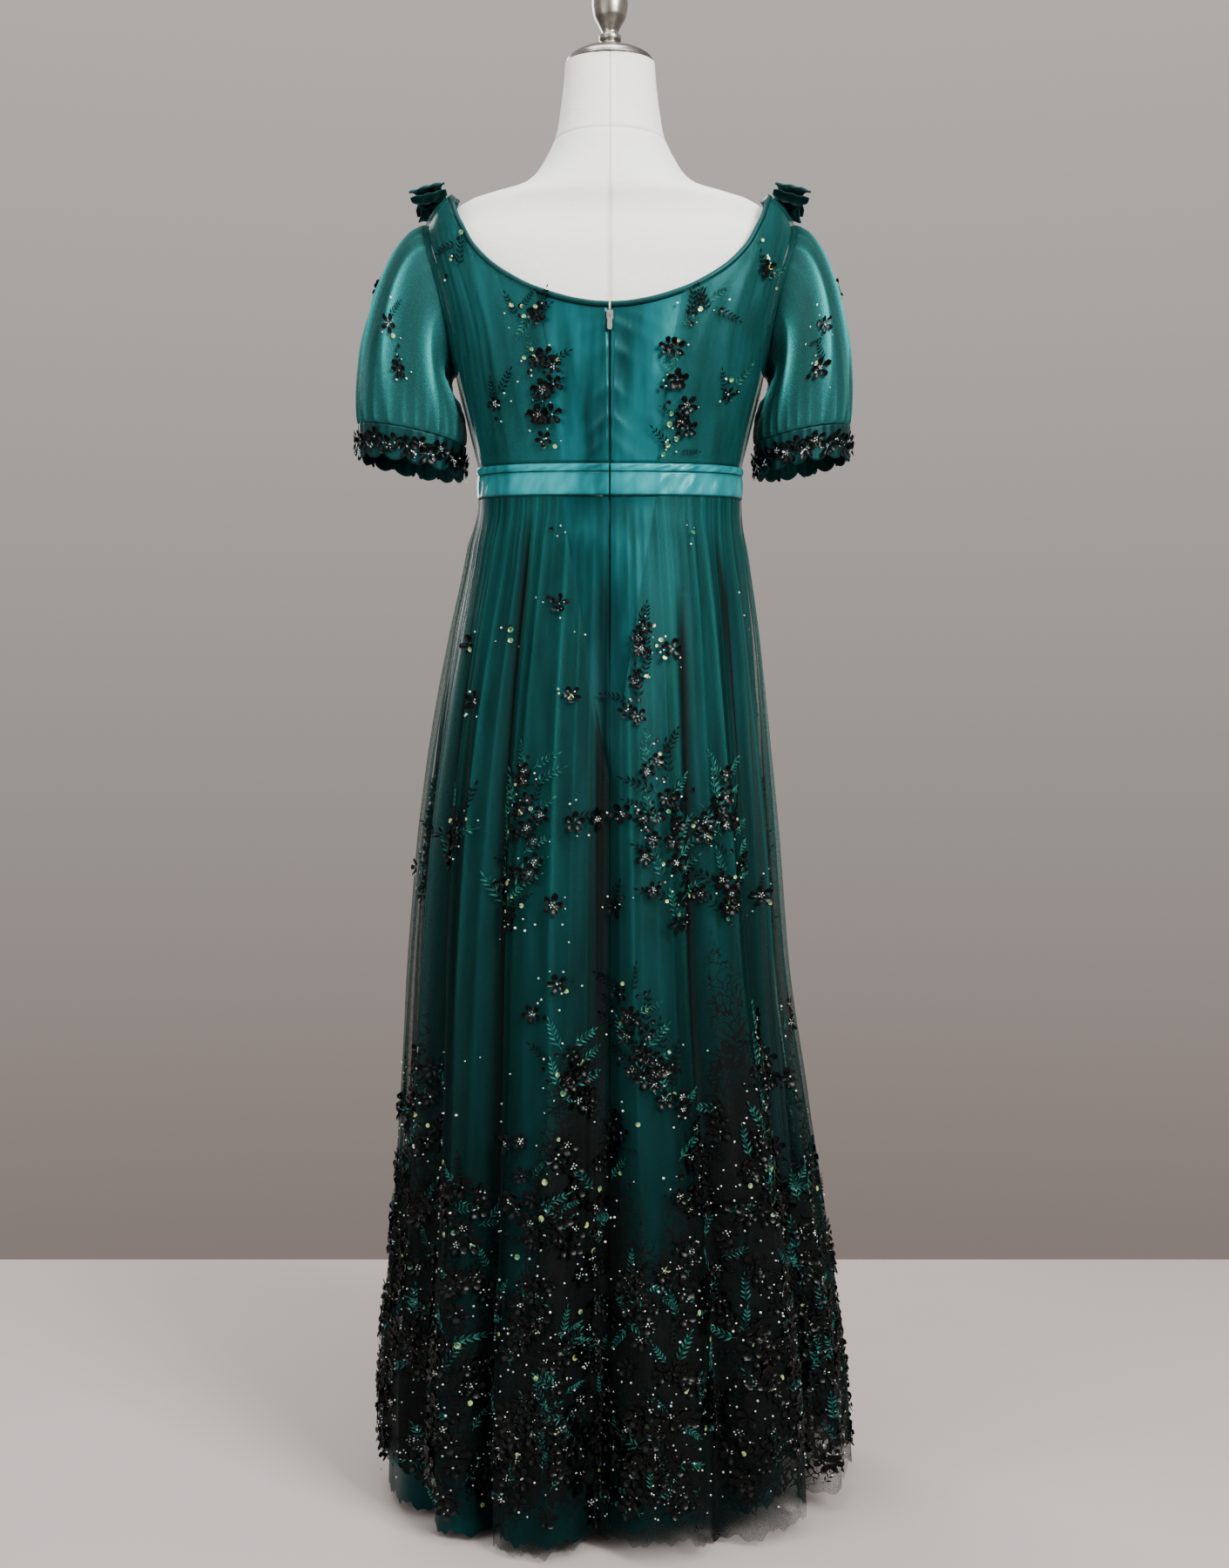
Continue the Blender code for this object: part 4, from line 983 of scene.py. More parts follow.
def build_waistband():
    """A soft rolled piping over a flat band whose satin puckers a little, with painted shade along their
    edges.
    """
    at_zip, at_side = math.degrees(ZIP_HALF_GAP / 0.140), math.degrees(SEAM_GAP / 2 / 0.110)
    spans = (
        ("back_left", at_side, 90.0 - at_zip),
        ("back_right", 90.0 + at_zip, 180.0 - at_side),
        ("front", 180.0 + at_side, 360.0 - at_side),
    )
    strips = (
        ("piping", "waist_piping_", 0.0004, PIPING_WIDTH, 0.0011, 0.0032),
        ("band", "waistband_", PIPING_WIDTH + 0.0002, PIPING_WIDTH + BAND_WIDTH, 0.0004, 0.0024),
    )
    for prefix, node, top, bottom, crown, deep in strips:
        for name, start, end in spans:
            columns = int((end - start) * 1.6) + 2
            angle = np.linspace(start, end, columns)[None, :]
            t = np.concatenate([[0.0], np.linspace(0.0, 1.0, 13), [1.0]])[:, None]
            inner = np.zeros_like(t)
            inner[0], inner[-1] = 1.0, 1.0
            drop = top + (bottom - top) * t
            swell = crown * np.sqrt(np.maximum(0.0, np.sin(np.pi * within(t, 0.015, 0.985))))
            pucker = 0.0010 * np.sin(angle * 0.62 + 4.0 * t) * np.sin(angle * 0.23 + 1.0)
            ease = NET_EASE + 0.0004 + swell + pucker * np.sin(np.pi * t) - inner * deep
            grid = on_band(angle + 0.0 * t, waist_seam(angle) - drop, ease)
            piece = sheet_piece(f"{prefix}_{name}", grid, BAND_SATIN, outward=False)
            # Painted shade along each strip's edges, in the grooves where they meet.
            edge = 1.0 - np.sqrt(np.maximum(0.0, np.sin(np.pi * t)))
            keep_on_points(piece, hollow=0.9 * edge**2 + 0.0 * angle)
            stands_for(piece, "band_satin", node + name)


# ---------------------------------------------------------------- skirts
PANELS = (("back_left", 0.0, 90.0), ("back_right", 90.0, 180.0), ("front", 180.0, 360.0))


def half_opening(height, slit):
    """Half the gap at centre back: the net's slit, or the satin's seam with the zip above."""
    if slit:
        return SLIT_HALF_WIDTH * within((height - SLIT_END) / (SLIT_TOP - SLIT_END)) ** 0.8 + SEAM_GAP
    return SEAM_GAP / 2 + (ZIP_HALF_GAP - SEAM_GAP / 2) * within((height - ZIP_END) / 0.05)


def panel_spots(start, end, hem, slit, step, rows):
    """(angle, height) over a panel, rows from the band down to the hem."""
    plain = np.linspace(start, end, int(round((end - start) / step)) + 1)[None, :]
    level = (np.linspace(0.0, 1.0, rows) ** 1.15)[:, None]
    top = skirt_top(plain)
    low = curve(HEMS, "angle", hem, plain) + 0.003 * np.sin(plain * 0.9) + 0.002 * np.sin(plain * 2.3)
    height = top + (np.maximum(low, 0.003) - top) * level
    away = np.abs(plain - 90.0) + 0.0 * level
    edge = np.degrees(half_opening(height, slit) / skirt_outline(90.0, height)[..., 1])
    side = np.sign(plain - 90.0 + (start - 89.0))
    squeezed = 90.0 + side * (edge + away * (SQUEEZE_REACH - edge) / SQUEEZE_REACH)
    near = (away < SQUEEZE_REACH) & (start < 180.0)
    gap = np.degrees(SEAM_GAP / 2 / skirt_outline(90.0, height)[..., 1])
    angle = np.where(near, squeezed, plain + 0.0 * level)
    low_end = np.where(start == 90.0, 90.0, start + gap)
    high_end = np.where(end == 90.0, 90.0, end - gap)
    return np.clip(angle, low_end, high_end), height


def fold_shade(angle, height, sharp):
    """How much painted shade a fold gets, from 0 on a ridge to 1 deep in a trough."""
    depth, share = fold_parts(angle, height, sharp)
    return within(within(depth / 0.005) * (0.30 * share + 0.30 * share**3 + 0.60 * share**8))


def build_skirts():
    layers = (
        ("underskirt_satin_", "underskirt_", satin_skirt, SATIN_SHARP, PLEATED_SATIN, "satin", 0.75, 120),
        ("overskirt_net_", "net_skirt_", net_skirt, NET_SHARP, SKIRT_NET, "net", 0.5, 165),
    )
    for prefix, node, surface, sharp, material, slot, step, rows in layers:
        for name, start, end in PANELS:
            angle, height = panel_spots(start, end, slot, slot == "net", step, rows)
            grid = surface(angle, height)
            piece = sheet_piece(prefix + name, grid, material, outward=False)
            # Painted shade in the folds' troughs, and painted highlights along the net's crests beside
            # them.
            shade = fold_shade(angle, height, sharp)
            edge = net_crest(angle, height) * (1.0 - shade)
            thick = work_density(angle, height)
            keep_on_points(piece, hollow=0.96 * shade, crest=edge, worked=thick)
            stands_for(piece, slot, node + name)
            declare(piece, grid, "gathered")


# ---------------------------------------------------------------- sleeves and cuffs
def cuff_rim(row, turn, ease):
    """A point on a cuff's upper rim and the way out from it, as if on the left."""
    t = np.radians(turn)
    across = np.array([math.cos(CUFF_TILT), 0.0, math.sin(CUFF_TILT)])
    c, s = np.cos(t)[..., None], np.sin(t)[..., None]
    ease = np.asarray(ease)[..., None]
    side = np.array([0.0, 1.0, 0.0])
    centre = np.array([CUFFS["centre_x"][row], CUFF_CENTRE_Y, CUFF_HEIGHT])
    rim = centre + across * (CUFFS["radius_x"][row] + ease) * c + side * (CUFF_RADIUS_Y + ease) * s
    return rim, across * c + side * s


def sleeve(row, layer, turn, share):
    """A sleeve as if on the left: turn runs round it from the shoulder by the back."""
    t = np.radians(turn)
    facts = LAYERS[layer]
    swing = np.where(np.sin(t) > 0, ARMHOLE_BACK_SWING, ARMHOLE_FRONT_SWING)
    start = on_body(*armhole(swing, turn, facts["inside"]), facts["ease"] + 0.0 * turn)
    end, out = cuff_rim(row, turn, facts["cuff"] + 0.0 * turn)
    radial = xyz(0.0 * t, np.sin(t), np.cos(t))
    outer = ((1.0 + np.cos(t)) / 2)[..., None]
    reach = facts["outer"] * outer + facts["inner"] * (1.0 - outer)
    first = start + (np.array([0.70, 0.0, -0.30]) + radial * (0.40 - 0.12 * outer)) * reach
    first = first + radial * facts["spread"]
    second = end + np.array([0.0, 0.0, 0.056]) + out * (facts["puff"] * outer + facts["spread"])
    s = np.asarray(share)[..., None]
    return start * (1 - s) ** 3 + first * 3 * s * (1 - s) ** 2 + second * 3 * s * s * (1 - s) + end * s**3


def sleeve_normal(row, layer, turn, share):
    low, high = within(share - 0.02), within(share + 0.02)
    across = sleeve(row, layer, turn + 2.0, share) - sleeve(row, layer, turn - 2.0, share)
    along = sleeve(row, layer, turn, high) - sleeve(row, layer, turn, low)
    return unit(np.cross(along, across))


SLEEVE_SLACK = 0.0012  # how far the troughs of a sleeve's gathers lie inside its plain shape


def sleeve_gathers(layer, turn, share):
    """Gathers that are deep over the cuff, shallow over the shoulder and soft between."""
    fine = crests(26 * turn / 360 + 0.30 * np.sin(np.radians(3 * turn)), 1.7)
    broad = crests(11 * turn / 360 + 0.4 * np.sin(np.radians(2 * turn)) - 0.4 * share, 1.5)
    cap = within(np.cos(np.radians(turn)) + 0.25)
    ends = np.sin(np.pi * within(share)) ** 0.3
    cuff = fine * 0.0058 * np.exp(-(1.0 - share) / 0.13)
    top = fine * 0.0030 * cap * np.exp(-share / 0.16)
    soft = broad * 0.0062 * np.sin(np.pi * share)
    scale = 1.0 if layer == "net" else 0.75
    return (cuff + top + soft) * ends * scale - SLEEVE_SLACK


def mirrored(row):
    """What turns a point as if on the left into one on its own side."""
    return np.array([CUFFS["sign"][row], 1.0, 1.0])


def on_sleeve(row, layer, turn, share, lift):
    stand_off = (sleeve_gathers(layer, turn, share) + lift)[..., None]
    spot = sleeve(row, layer, turn, share) + sleeve_normal(row, layer, turn, share) * stand_off
    return spot * mirrored(row)


def build_sleeves():
    layers = (
        ("satin", "satin_sleeve_", "sleeve_", SATIN),
        ("net", "net_over_sleeve_", "net_sleeve_", SLEEVE_NET),
    )
    turn, share = crossed(np.arange(0.0, 360.0, 2.0), np.linspace(0.0, 1.0, 61))
    for row, side in enumerate(("left", "right")):
        for layer, name, node, material in layers:
            grid = on_sleeve(row, layer, turn, share, np.zeros_like(turn))
            piece = sheet_piece(name + side, grid, material, ring=True, outward=row == 1)
            # Painted shade in the troughs of the gathers, and on the net painted highlights along their
            # crests.
            relief = within((sleeve_gathers(layer, turn, share) + SLEEVE_SLACK) / 0.005)
            keep_on_points(piece, hollow=0.55 * (1.0 - relief) ** 2, crest=relief**2)
            stands_for(piece, layer, node + side)
            declare(piece, grid, "gathered", ring=True)


def cuff_length(turn):
    notch = 1.0 - np.abs(np.cos(np.pi * CUFF_SCALLOPS * turn / 360.0)) ** 0.7
    return CUFF_WIDTH - CUFF_SCALLOP_DEPTH * notch


def on_cuff(row, turn, share, lift):
    """A cuff, a share of the way down from its rim to its scalloped edge."""
    down = np.array([0.04, 0.0, -1.0]) / math.hypot(0.04, 1.0)
    rim, _ = cuff_rim(row, turn, 0.0012 - 0.0022 * share + lift)
    spot = rim + down * (0.0012 + share * cuff_length(turn))[..., None]
    return spot * mirrored(row)


def build_cuffs():
    turn, share = crossed(np.arange(0.0, 360.0, 1.5), np.linspace(0.0, 1.0, 17))
    for row, side in enumerate(("left", "right")):
        grid = on_cuff(row, turn, share, 0.0004 * np.sin(np.radians(turn * 31)))
        name = "lace_cuff_" + side
        piece = sheet_piece(name, grid, LACE, ring=True, thick=LACE_THICK, outward=row == 1)
        stands_for(piece, "beaded_lace", "cuff_" + side)
        declare(piece, grid, "gathered", ring=True)


# ---------------------------------------------------------------- bows
BOW_HEIGHT, BOW_ACROSS, BOW_LEAN = 1.4172, 0.1990, math.radians(14.0)
LOOP_MIDDLE, LOOP_HALF_LENGTH, LOOP_HALF_HEIGHT = 0.0275, 0.0200, 0.0095
KNOT_HALF_LENGTH, KNOT_HALF_HEIGHT = 0.0066, 0.0093


def bow_loop(anchor, width, lift, way):
    """A flat loop of ribbon that leaves the knot to the back or the front."""
    share = np.linspace(-1.0, 1.0, 15)[:, None, None]
    t = np.radians(np.linspace(-156.0, 156.0, 45))[None, :, None]
    reach = LOOP_MIDDLE - LOOP_HALF_LENGTH * np.cos(t) * (1 - 0.05 * share**2)
    rise = -LOOP_HALF_HEIGHT * np.sin(t) * (0.88 + 0.10 * np.cos(share * 2.4 + 0.5))
    rise = rise + 0.0006 * np.sin(9 * share + 3 * t)
    fan = within(0.72 + 0.28 * (reach - LOOP_MIDDLE + 0.014) / 0.022, 0.72, 1.0)
    crease = 0.0012 * np.cos(share * 7.0) * np.exp(-((reach - 0.010) / 0.012) ** 2)
    along = np.array([0.0, way, -0.10])
    return anchor + along * reach + lift * (rise + crease) + width * share * fan


def bow_knot(anchor, width, lift):
    share = np.linspace(-1.0, 1.0, 13)[:, None, None]
    t = np.radians(np.arange(0.0, 360.0, 12.0))[None, :, None]
    swell = 1.0 + 0.06 * np.cos(9 * share) - 0.10 * share**6
    along = np.array([0.0, 1.0, 0.0]) * KNOT_HALF_LENGTH * np.cos(t) * swell
    return anchor + width * 0.62 * share + along + lift * KNOT_HALF_HEIGHT * np.sin(t) * swell


def build_bows():
    """Flat velvet bows along the shoulder ends: a front loop, a back loop and a knot."""
    for side, sign in (("left", 1.0), ("right", -1.0)):
        anchor = np.array([sign * BOW_ACROSS, 0.0, BOW_HEIGHT])
        lean = BOW_LEAN * sign
        width = np.array([math.cos(lean), 0.0, -math.sin(lean)]) * RIBBON_WIDTH / 2
        lift = np.array([math.sin(lean), 0.0, math.cos(lean)])
        for end, way in (("back", 1.0), ("front", -1.0)):
            grid = bow_loop(anchor, width, lift, way)
            name = f"ribbon_{side}_{end}"
            piece = sheet_piece(name, grid, VELVET, thick=RIBBON_THICK, outward=way > 0)
            stands_for(piece, "velvet", f"bow_{side}_{end}_loop")
            declare(piece, grid, "folded")
        knot = sheet_piece("ribbon_knot_" + side, bow_knot(anchor, width, lift), VELVET, ring=True)
        stands_for(close_ends(knot), "velvet", f"bow_{side}_knot")


# ---------------------------------------------------------------- dress form
def build_torso():
    """The linen torso, with its centre-back seam and the seam round its neck."""
    even = np.linspace(1.566, 0.777, 150)
    seam = NECK_SEAM_HEIGHT + np.array([0.0024, 0.0012, 0.0, -0.0012, -0.0024])
    ends = [BODY["height"][0], BODY["height"][-1]]
    height = np.unique(np.concatenate([even, seam, ends]))[:, None]
    beside = 90.0 + np.array([-1.2, -0.6, 0.6, 1.2])
    angle = np.unique(np.concatenate([np.arange(0.0, 360.0, 2.5), beside]))[None, :]
    shoulder = np.exp(-(((height - SHOULDER_TIP_HEIGHT) / 0.025) ** 2))
    slack = FORM_SLACK + SHOULDER_SLACK * shoulder
    neck_seam = np.exp(-(((height - NECK_SEAM_HEIGHT) / 0.0012) ** 2))
    seam_line = neck_seam + np.exp(-(((angle - 90.0) / 0.7) ** 2))
    groove = 0.0010 * seam_line
    angle, height = angle + 0.0 * height, height + 0.0 * angle
    grid = body(angle, height) - (slack + groove)[..., None] * normal_of(body, angle, height)
    grid[0, :, 2], grid[-1, :, 2] = BODY["height"][-1], BODY["height"][0]
    torso = sheet_piece("linen_torso", grid, LINEN, ring=True)
    keep_on_points(torso, hollow=within(seam_line + 0.0 * angle))
    stands_for(close_ends(torso), "linen", "form_torso")


def build_finial():
    """The metal cap on the neck, turned in one with its finial."""
    low, high = FINIAL["height"][0], FINIAL["height"][-1]
    heights = low + (high - low) * np.linspace(0, 1, 110)
    radius = curve(FINIAL, "height", "radius", heights)[:, None]
    t = np.radians(np.arange(0.0, 360.0, 6.0))[None, :]
    grid = xyz(radius * np.cos(t), -0.010 + radius * np.sin(t), heights[:, None])
    finial = close_ends(sheet_piece("turned_finial", grid, NICKEL, ring=True))
    stands_for(finial, "antique_nickel", "form_finial")


def paint_hard_parts():
    """The CAD's own solids that show as they are get their finish."""
    for node, material in (
        ("stand_pole", NICKEL),
        ("stand_foot", FOOT),
        ("zip_slider", ZIP_METAL),
        ("zip_pull", ZIP_METAL),
        ("zip_chain", BINDING),
    ):
        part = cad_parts[node]
        if not part.material_slots:
            part.data.materials.append(material)
        for holder in part.material_slots:
            holder.material = material


# ---------------------------------------------------------------- embroidery
# A petal of a flower of radius 1, its middle and then its edge: reach, radians to the side, rise.
PETAL = (
    (0.60, 0.0, -0.04),
    (0.10, 0.0, 0.05),
    (0.55, -0.46, 0.02),
    (0.90, -0.30, 0.16),
    (1.02, 0.0, 0.22),
    (0.90, 0.30, 0.16),
    (0.55, 0.46, 0.02),
)
# A leaf of length 1 and half width 1: its edge and then its middle: along, to the side, rise.
LEAF_BLADE = ((0.0, 0.0, 0.0), (0.45, -1.0, 0.3), (1.0, 0.0, 1.0), (0.45, 1.0, 0.3), (0.45, 0.0, 0.9))


def flower_shape():
    """Five cupped petals round a centre, of radius 1."""
    points, faces = [], []
    for k in range(5):
        turn = 2 * math.pi * k / 5
        base = len(points)
        for reach, away, rise in PETAL:
            a = turn + away
            points.append((reach * math.cos(a), reach * math.sin(a), rise + 0.10))
        faces += [(base, base + 1 + i, base + 1 + (i + 1) % 6) for i in range(6)]
    return np.array(points), np.array(faces)


def disc_shape(sides=7):
    """A cupped sequin of radius 1."""
    points = [(0.0, 0.0, 0.0)]
    for k in range(sides):
        a = 2 * math.pi * k / sides
        points.append((math.cos(a), math.sin(a), 0.25))
    faces = [(0, 1 + k, 1 + (k + 1) % sides) for k in range(sides)]
    return np.array(points), np.array(faces)


def bead_shape():
    """A round bead of radius 1, sunk a little in the cloth."""
    shape = bmesh.new()
    bmesh.ops.create_icosphere(shape, subdivisions=1, radius=1.0)
    points = np.array([v.co[:] for v in shape.verts]) + (0.0, 0.0, 0.6)
    faces = np.array([[v.index for v in f.verts] for f in shape.faces])
    shape.free()
    return points, faces


def spray_shape(bend):
    """A bent stem of length 1 with pairs of narrow leaves."""
    points, faces = [], []

    def leaf(root, heading, length, half, rise):
        c, s = math.cos(heading), math.sin(heading)
        base = len(points)
        for along, side, up in LEAF_BLADE:
            x, y = length * along, half * side
            points.append((root[0] + x * c - y * s, root[1] + x * s + y * c, rise * up))
        faces.extend([(base, base + 1, base + 4), (base + 1, base + 2, base + 4)])
        faces.extend([(base + 2, base + 3, base + 4), (base + 3, base, base + 4)])

    spots = [(bend * math.sin(1.5 * t) * t, t) for t in (0.0, 0.2, 0.38, 0.55, 0.70, 0.84, 1.0)]
    for i, (x, y) in enumerate(spots[:-1]):
        heading = math.atan2(spots[i + 1][1] - y, spots[i + 1][0] - x)
        leaf((x, y), heading, 0.24, 0.011, 0.03)
        if i:
            size = 0.30 * (1.0 - 0.07 * i)
            leaf((x, y), heading + 0.75, size, 0.038, 0.06)
            leaf((x, y), heading - 0.75, size, 0.038, 0.06)
    x, y = spots[-1]
    leaf((x, y), math.pi / 2 - bend, 0.20, 0.036, 0.06)
    return np.array(points), np.array(faces)


def laid_on(points, place, row, u, v, size, turn, lift):
    """Copies of a shape's points laid on a surface, each bent to follow it: the shape's x and y
    run over the cloth and its z stands off it."""

    def spot(u_at, v_at):
        return place(u_at, v_at, 0 * u, row)

    step_u = np.linalg.norm(spot(u + 0.5, v) - spot(u - 0.5, v), axis=-1)
    up = spot(u, v + 0.01) - spot(u, v - 0.01)
    step_v = np.linalg.norm(up, axis=-1) / 0.02 * np.where(up[:, 2] > 0, 1.0, -1.0)
    c, s = np.cos(turn)[:, None], np.sin(turn)[:, None]
    x, y = points[None, :, 0] * size[:, None], points[None, :, 1] * size[:, None]
    over_u = u[:, None] + (x * c - y * s) / np.maximum(step_u, 0.0008)[:, None]
    over_v = v[:, None] + (x * s + y * c) / step_v[:, None]
    return place(over_u, over_v, lift + points[None, :, 2] * size[:, None], row)


def folded_outline(angle, height):
    return skirt(angle, height, 0.0, 1.0, NET_EASE, NET_SHARP)


def skirt_point(angle, height, lift, row=0):
    """On the net's gathers, standing off them the way its folds face."""
    normal = normal_of(folded_outline, angle, height)
    return net_skirt(angle, height) + normal * np.asarray(lift)[..., None]


def bodice_point(angle, height, lift, row=0):
    return on_body(angle, height, NET_EASE + 0.0016 + lift)


def sleeve_point(turn, share, lift, row):
    return on_sleeve(row, "net", turn, share, lift)


def cuff_point(turn, share, lift, row):
    return on_cuff(row, turn, share, lift)


DEGREE = math.radians(1.0)

# Each surface: its place function, its row, and metres to a unit of each of its coordinates.
SURFACES = {
    "skirt": (skirt_point, 0, DEGREE * 0.20, 1.0),
    "bodice": (bodice_point, 0, DEGREE * 0.15, 1.0),
    "sleeve_left": (sleeve_point, 0, DEGREE * 0.07, -0.20),
    "sleeve_right": (sleeve_point, 1, DEGREE * 0.07, -0.20),
    "cuff_left": (cuff_point, 0, DEGREE * 0.058, -0.037),
    "cuff_right": (cuff_point, 1, DEGREE * 0.054, -0.037),
}

# Each kind of mark: its shape, its material, and how far it stands off the cloth.
KINDS = {
    "flower": (flower_shape(), BLACK, 0.0012),
    "green": (disc_shape(), GREEN, 0.0014),
    "disc": (disc_shape(), BLACK, 0.0012),
    "bead": (bead_shape(), BEAD, 0.0006),
    "leaf": (spray_shape(0.35), LEAF, 0.0010),
    "dark_leaf": (spray_shape(-0.45), DARK_LEAF, 0.0010),
}


class Embroidery:
    """Marks to be sewn on, gathered by kind and surface and made into meshes at the end."""

    def __init__(self, seed):
        self.rng = np.random.default_rng(seed)
        self.marks = {}

    def add(self, kind, surface, spot, size, turn=None):
        turn = self.rng.uniform(0, 2 * np.pi) if turn is None else turn
        self.marks.setdefault((kind, surface), []).append((*spot, size, turn))

    def near(self, surface, spot, dx, dy):
        """The spot dx metres to the side of one and dy metres up from it."""
        _, _, per_u, per_v = SURFACES[surface]
        return spot[0] + dx / per_u, spot[1] + dy / per_v

    def strewn(self, surface, spot, across, up=None):
        """A spot drawn round one, with a spread in metres across and up."""
        return self.near(surface, spot, *self.rng.normal(0, (across, across if up is None else up)))

    def ring_of_beads(self, surface, spot, radius, count):
        start = self.rng.uniform(0, 2 * np.pi)
        for k in range(count):
            a = start + 2 * np.pi * k / count + self.rng.normal(0, 0.25)
            reach = radius * self.rng.uniform(0.75, 1.25)
            place = self.near(surface, spot, reach * math.cos(a), reach * math.sin(a))
            self.add("bead", surface, place, self.rng.uniform(0.0010, 0.0016))

    def blossom(self, surface, spot, radius):
        """A dark flower with a pale eye of beads."""
        self.add("flower", surface, spot, radius)
        start = self.rng.uniform(0, 2 * np.pi)
        for k in range(self.rng.choice([0, 1, 1, 5, 7])):
            reach, a = 0.0026 if k else 0.0, start + k * 1.05
            place = self.near(surface, spot, reach * math.cos(a), reach * math.sin(a))
            self.add("bead", surface, place, self.rng.uniform(0.0009, 0.0012))

    def sprig(self, surface, spot, size, kinds):
        """Flowers, sequins, beads and sprays round one spot; kinds says how many of each."""
        rng = self.rng
        flowers, discs, beads, sprays = kinds
        for k in range(flowers):
            place = self.strewn(surface, spot, 0.55 * size) if k else spot
            self.blossom(surface, place, rng.uniform(0.0085, 0.0125))
        for _ in range(discs):
            place = self.strewn(surface, spot, 0.8 * size)
            kind = "green" if rng.random() < 0.42 else "disc"
            self.add(kind, surface, place, rng.uniform(0.0020, 0.0034))
        for _ in range(beads):
            place = self.strewn(surface, spot, 0.95 * size)
            self.add("bead", surface, place, rng.uniform(0.0008, 0.0015))
        for _ in range(sprays):
            place = self.strewn(surface, spot, 0.5 * size)
            kind = "leaf" if rng.random() < 0.4 else "dark_leaf"
            turn = rng.normal(0, 1.1)
            self.add(kind, surface, place, rng.uniform(0.019, 0.032), turn)

    def climbing(self, surface, u, low, high, lean):
        """A tall stem of sprays with flowers and beads along it."""
        rng, height = self.rng, low
        while height < high:
            share = (height - low) / (high - low)
            wide = 0.020 * math.sin(math.pi * (0.15 + 0.75 * share))
            dx = lean * (height - low) + rng.normal(0, 0.003)
            stem = self.near(surface, (u, height), dx, 0.0)
            for side in (-1.0, 1.0):
                kind = "leaf" if rng.random() < 0.45 else "dark_leaf"
                place = self.near(surface, stem, side * wide * 0.5, 0.0)
                self.add(kind, surface, place, rng.uniform(0.026, 0.036), -side * rng.uniform(0.35, 1.0))
            for _ in range(2 if share < 0.75 else 1):
                place = self.strewn(surface, stem, wide * 0.7, 0.006)
                self.blossom(surface, place, rng.uniform(0.0085, 0.0115))
            for kind, count in (("green", 1), ("disc", 2), ("bead", 2)):
                for _ in range(count):
                    place = self.strewn(surface, stem, wide * 0.8, 0.009)
                    size = 0.0011 if kind == "bead" else rng.uniform(0.0018, 0.0028)
                    self.add(kind, surface, place, size)
            height += rng.uniform(0.015, 0.022)

    def fitted(self, kind, surface, rows):
        """The marks of a kind that a surface has room for, held clear of its edges."""
        u, v, size, turn = np.array(rows).T
        if surface == "skirt":
            keep = (v > 0.030) & (v < 1.045) & outside_slit(u, v)
            u, v, size, turn = u[keep], v[keep], size[keep], turn[keep]
        if surface == "bodice":
            reach = size * np.maximum(0.0, np.cos(turn)) if "leaf" in kind else size
            v = np.minimum(v, neck_height(u) - NECK_CLEARANCE - reach)
        if surface.startswith("sleeve"):
            size = np.minimum(size, MOTIF_LIMIT)
        return u, v, size, turn

    def build(self):
        for kind, ((points, faces), material, lift) in KINDS.items():
            placed = []
            for (mark, surface), rows in self.marks.items():
                if mark == kind:
                    place, row, _, _ = SURFACES[surface]
                    spots = self.fitted(kind, surface, rows)
                    placed.append(laid_on(points, place, row, *spots, lift))
            placed = np.concatenate(placed)
            joined = faces[None] + (np.arange(len(placed)) * len(points))[:, None, None]
            piece = new_piece("embroidery_" + kind, placed, joined.reshape(-1, 3), material)


def neck_height(angle):
    """The height of the neck's edge over an angle, back or front."""
    swing = 90.0 - np.abs(np.abs((angle + 90.0) % 360.0 - 180.0) - 90.0)
    back = curve(NECK_BACK, "swing", "height", swing)
    return np.where((angle % 360.0) < 180.0, back, curve(NECK_FRONT, "swing", "height", swing))


def outside_slit(angle, height):
    """Whether a mark is well clear of the net's slit at centre back."""
    elsewhere = (np.abs(angle - 90.0) >= 60) | (height <= SLIT_END - 0.03)
    across = np.abs(skirt_outline(angle, height)[..., 0])
    return elsewhere | (across > half_opening(height, True) + 0.006)


# Where the work is thin or thick: an angle and its half width, a height and its half height,
# and how much is added there.
WORK_PATCHES = table(
    ("angle", "wide", "height", "tall", "more"),
    (63.0, 9.0, 0.38, 0.20, -0.85),
    (100.0, 7.0, 0.44, 0.15, -0.80),
    (112.0, 6.0, 0.14, 0.06, -0.50),
    (46.0, 7.0, 0.16, 0.08, -0.40),
    (83.0, 8.0, 0.36, 0.17, 0.65),
    (127.0, 12.0, 0.40, 0.20, 0.70),
    (30.0, 8.0, 0.42, 0.16, 0.35),
    (172.0, 13.0, 0.30, 0.42, -1.10),
    (196.0, 10.0, 0.36, 0.20, 0.40),
    (222.0, 9.0, 0.40, 0.18, -0.75),
    (246.0, 10.0, 0.38, 0.20, 0.60),
    (272.0, 8.0, 0.42, 0.16, -0.70),
    (296.0, 10.0, 0.40, 0.18, 0.60),
    (320.0, 8.0, 0.40, 0.18, -0.70),
    (342.0, 9.0, 0.34, 0.18, 0.45),
)


def work_density(angle, height):
    """How thickly the net is worked: nothing at the top, all over near the hem."""
    density = 1.05 * eased_in((0.56 - height) / 0.38)
    for a, wide, h, tall, more in zip(*WORK_PATCHES.values()):
        away = (angle - a + 180.0) % 360.0 - 180.0
        density = density + more * np.exp(-((away / wide) ** 2) - ((height - h) / tall) ** 2)
    return within(density) * eased_in((height - 0.010) / 0.075)


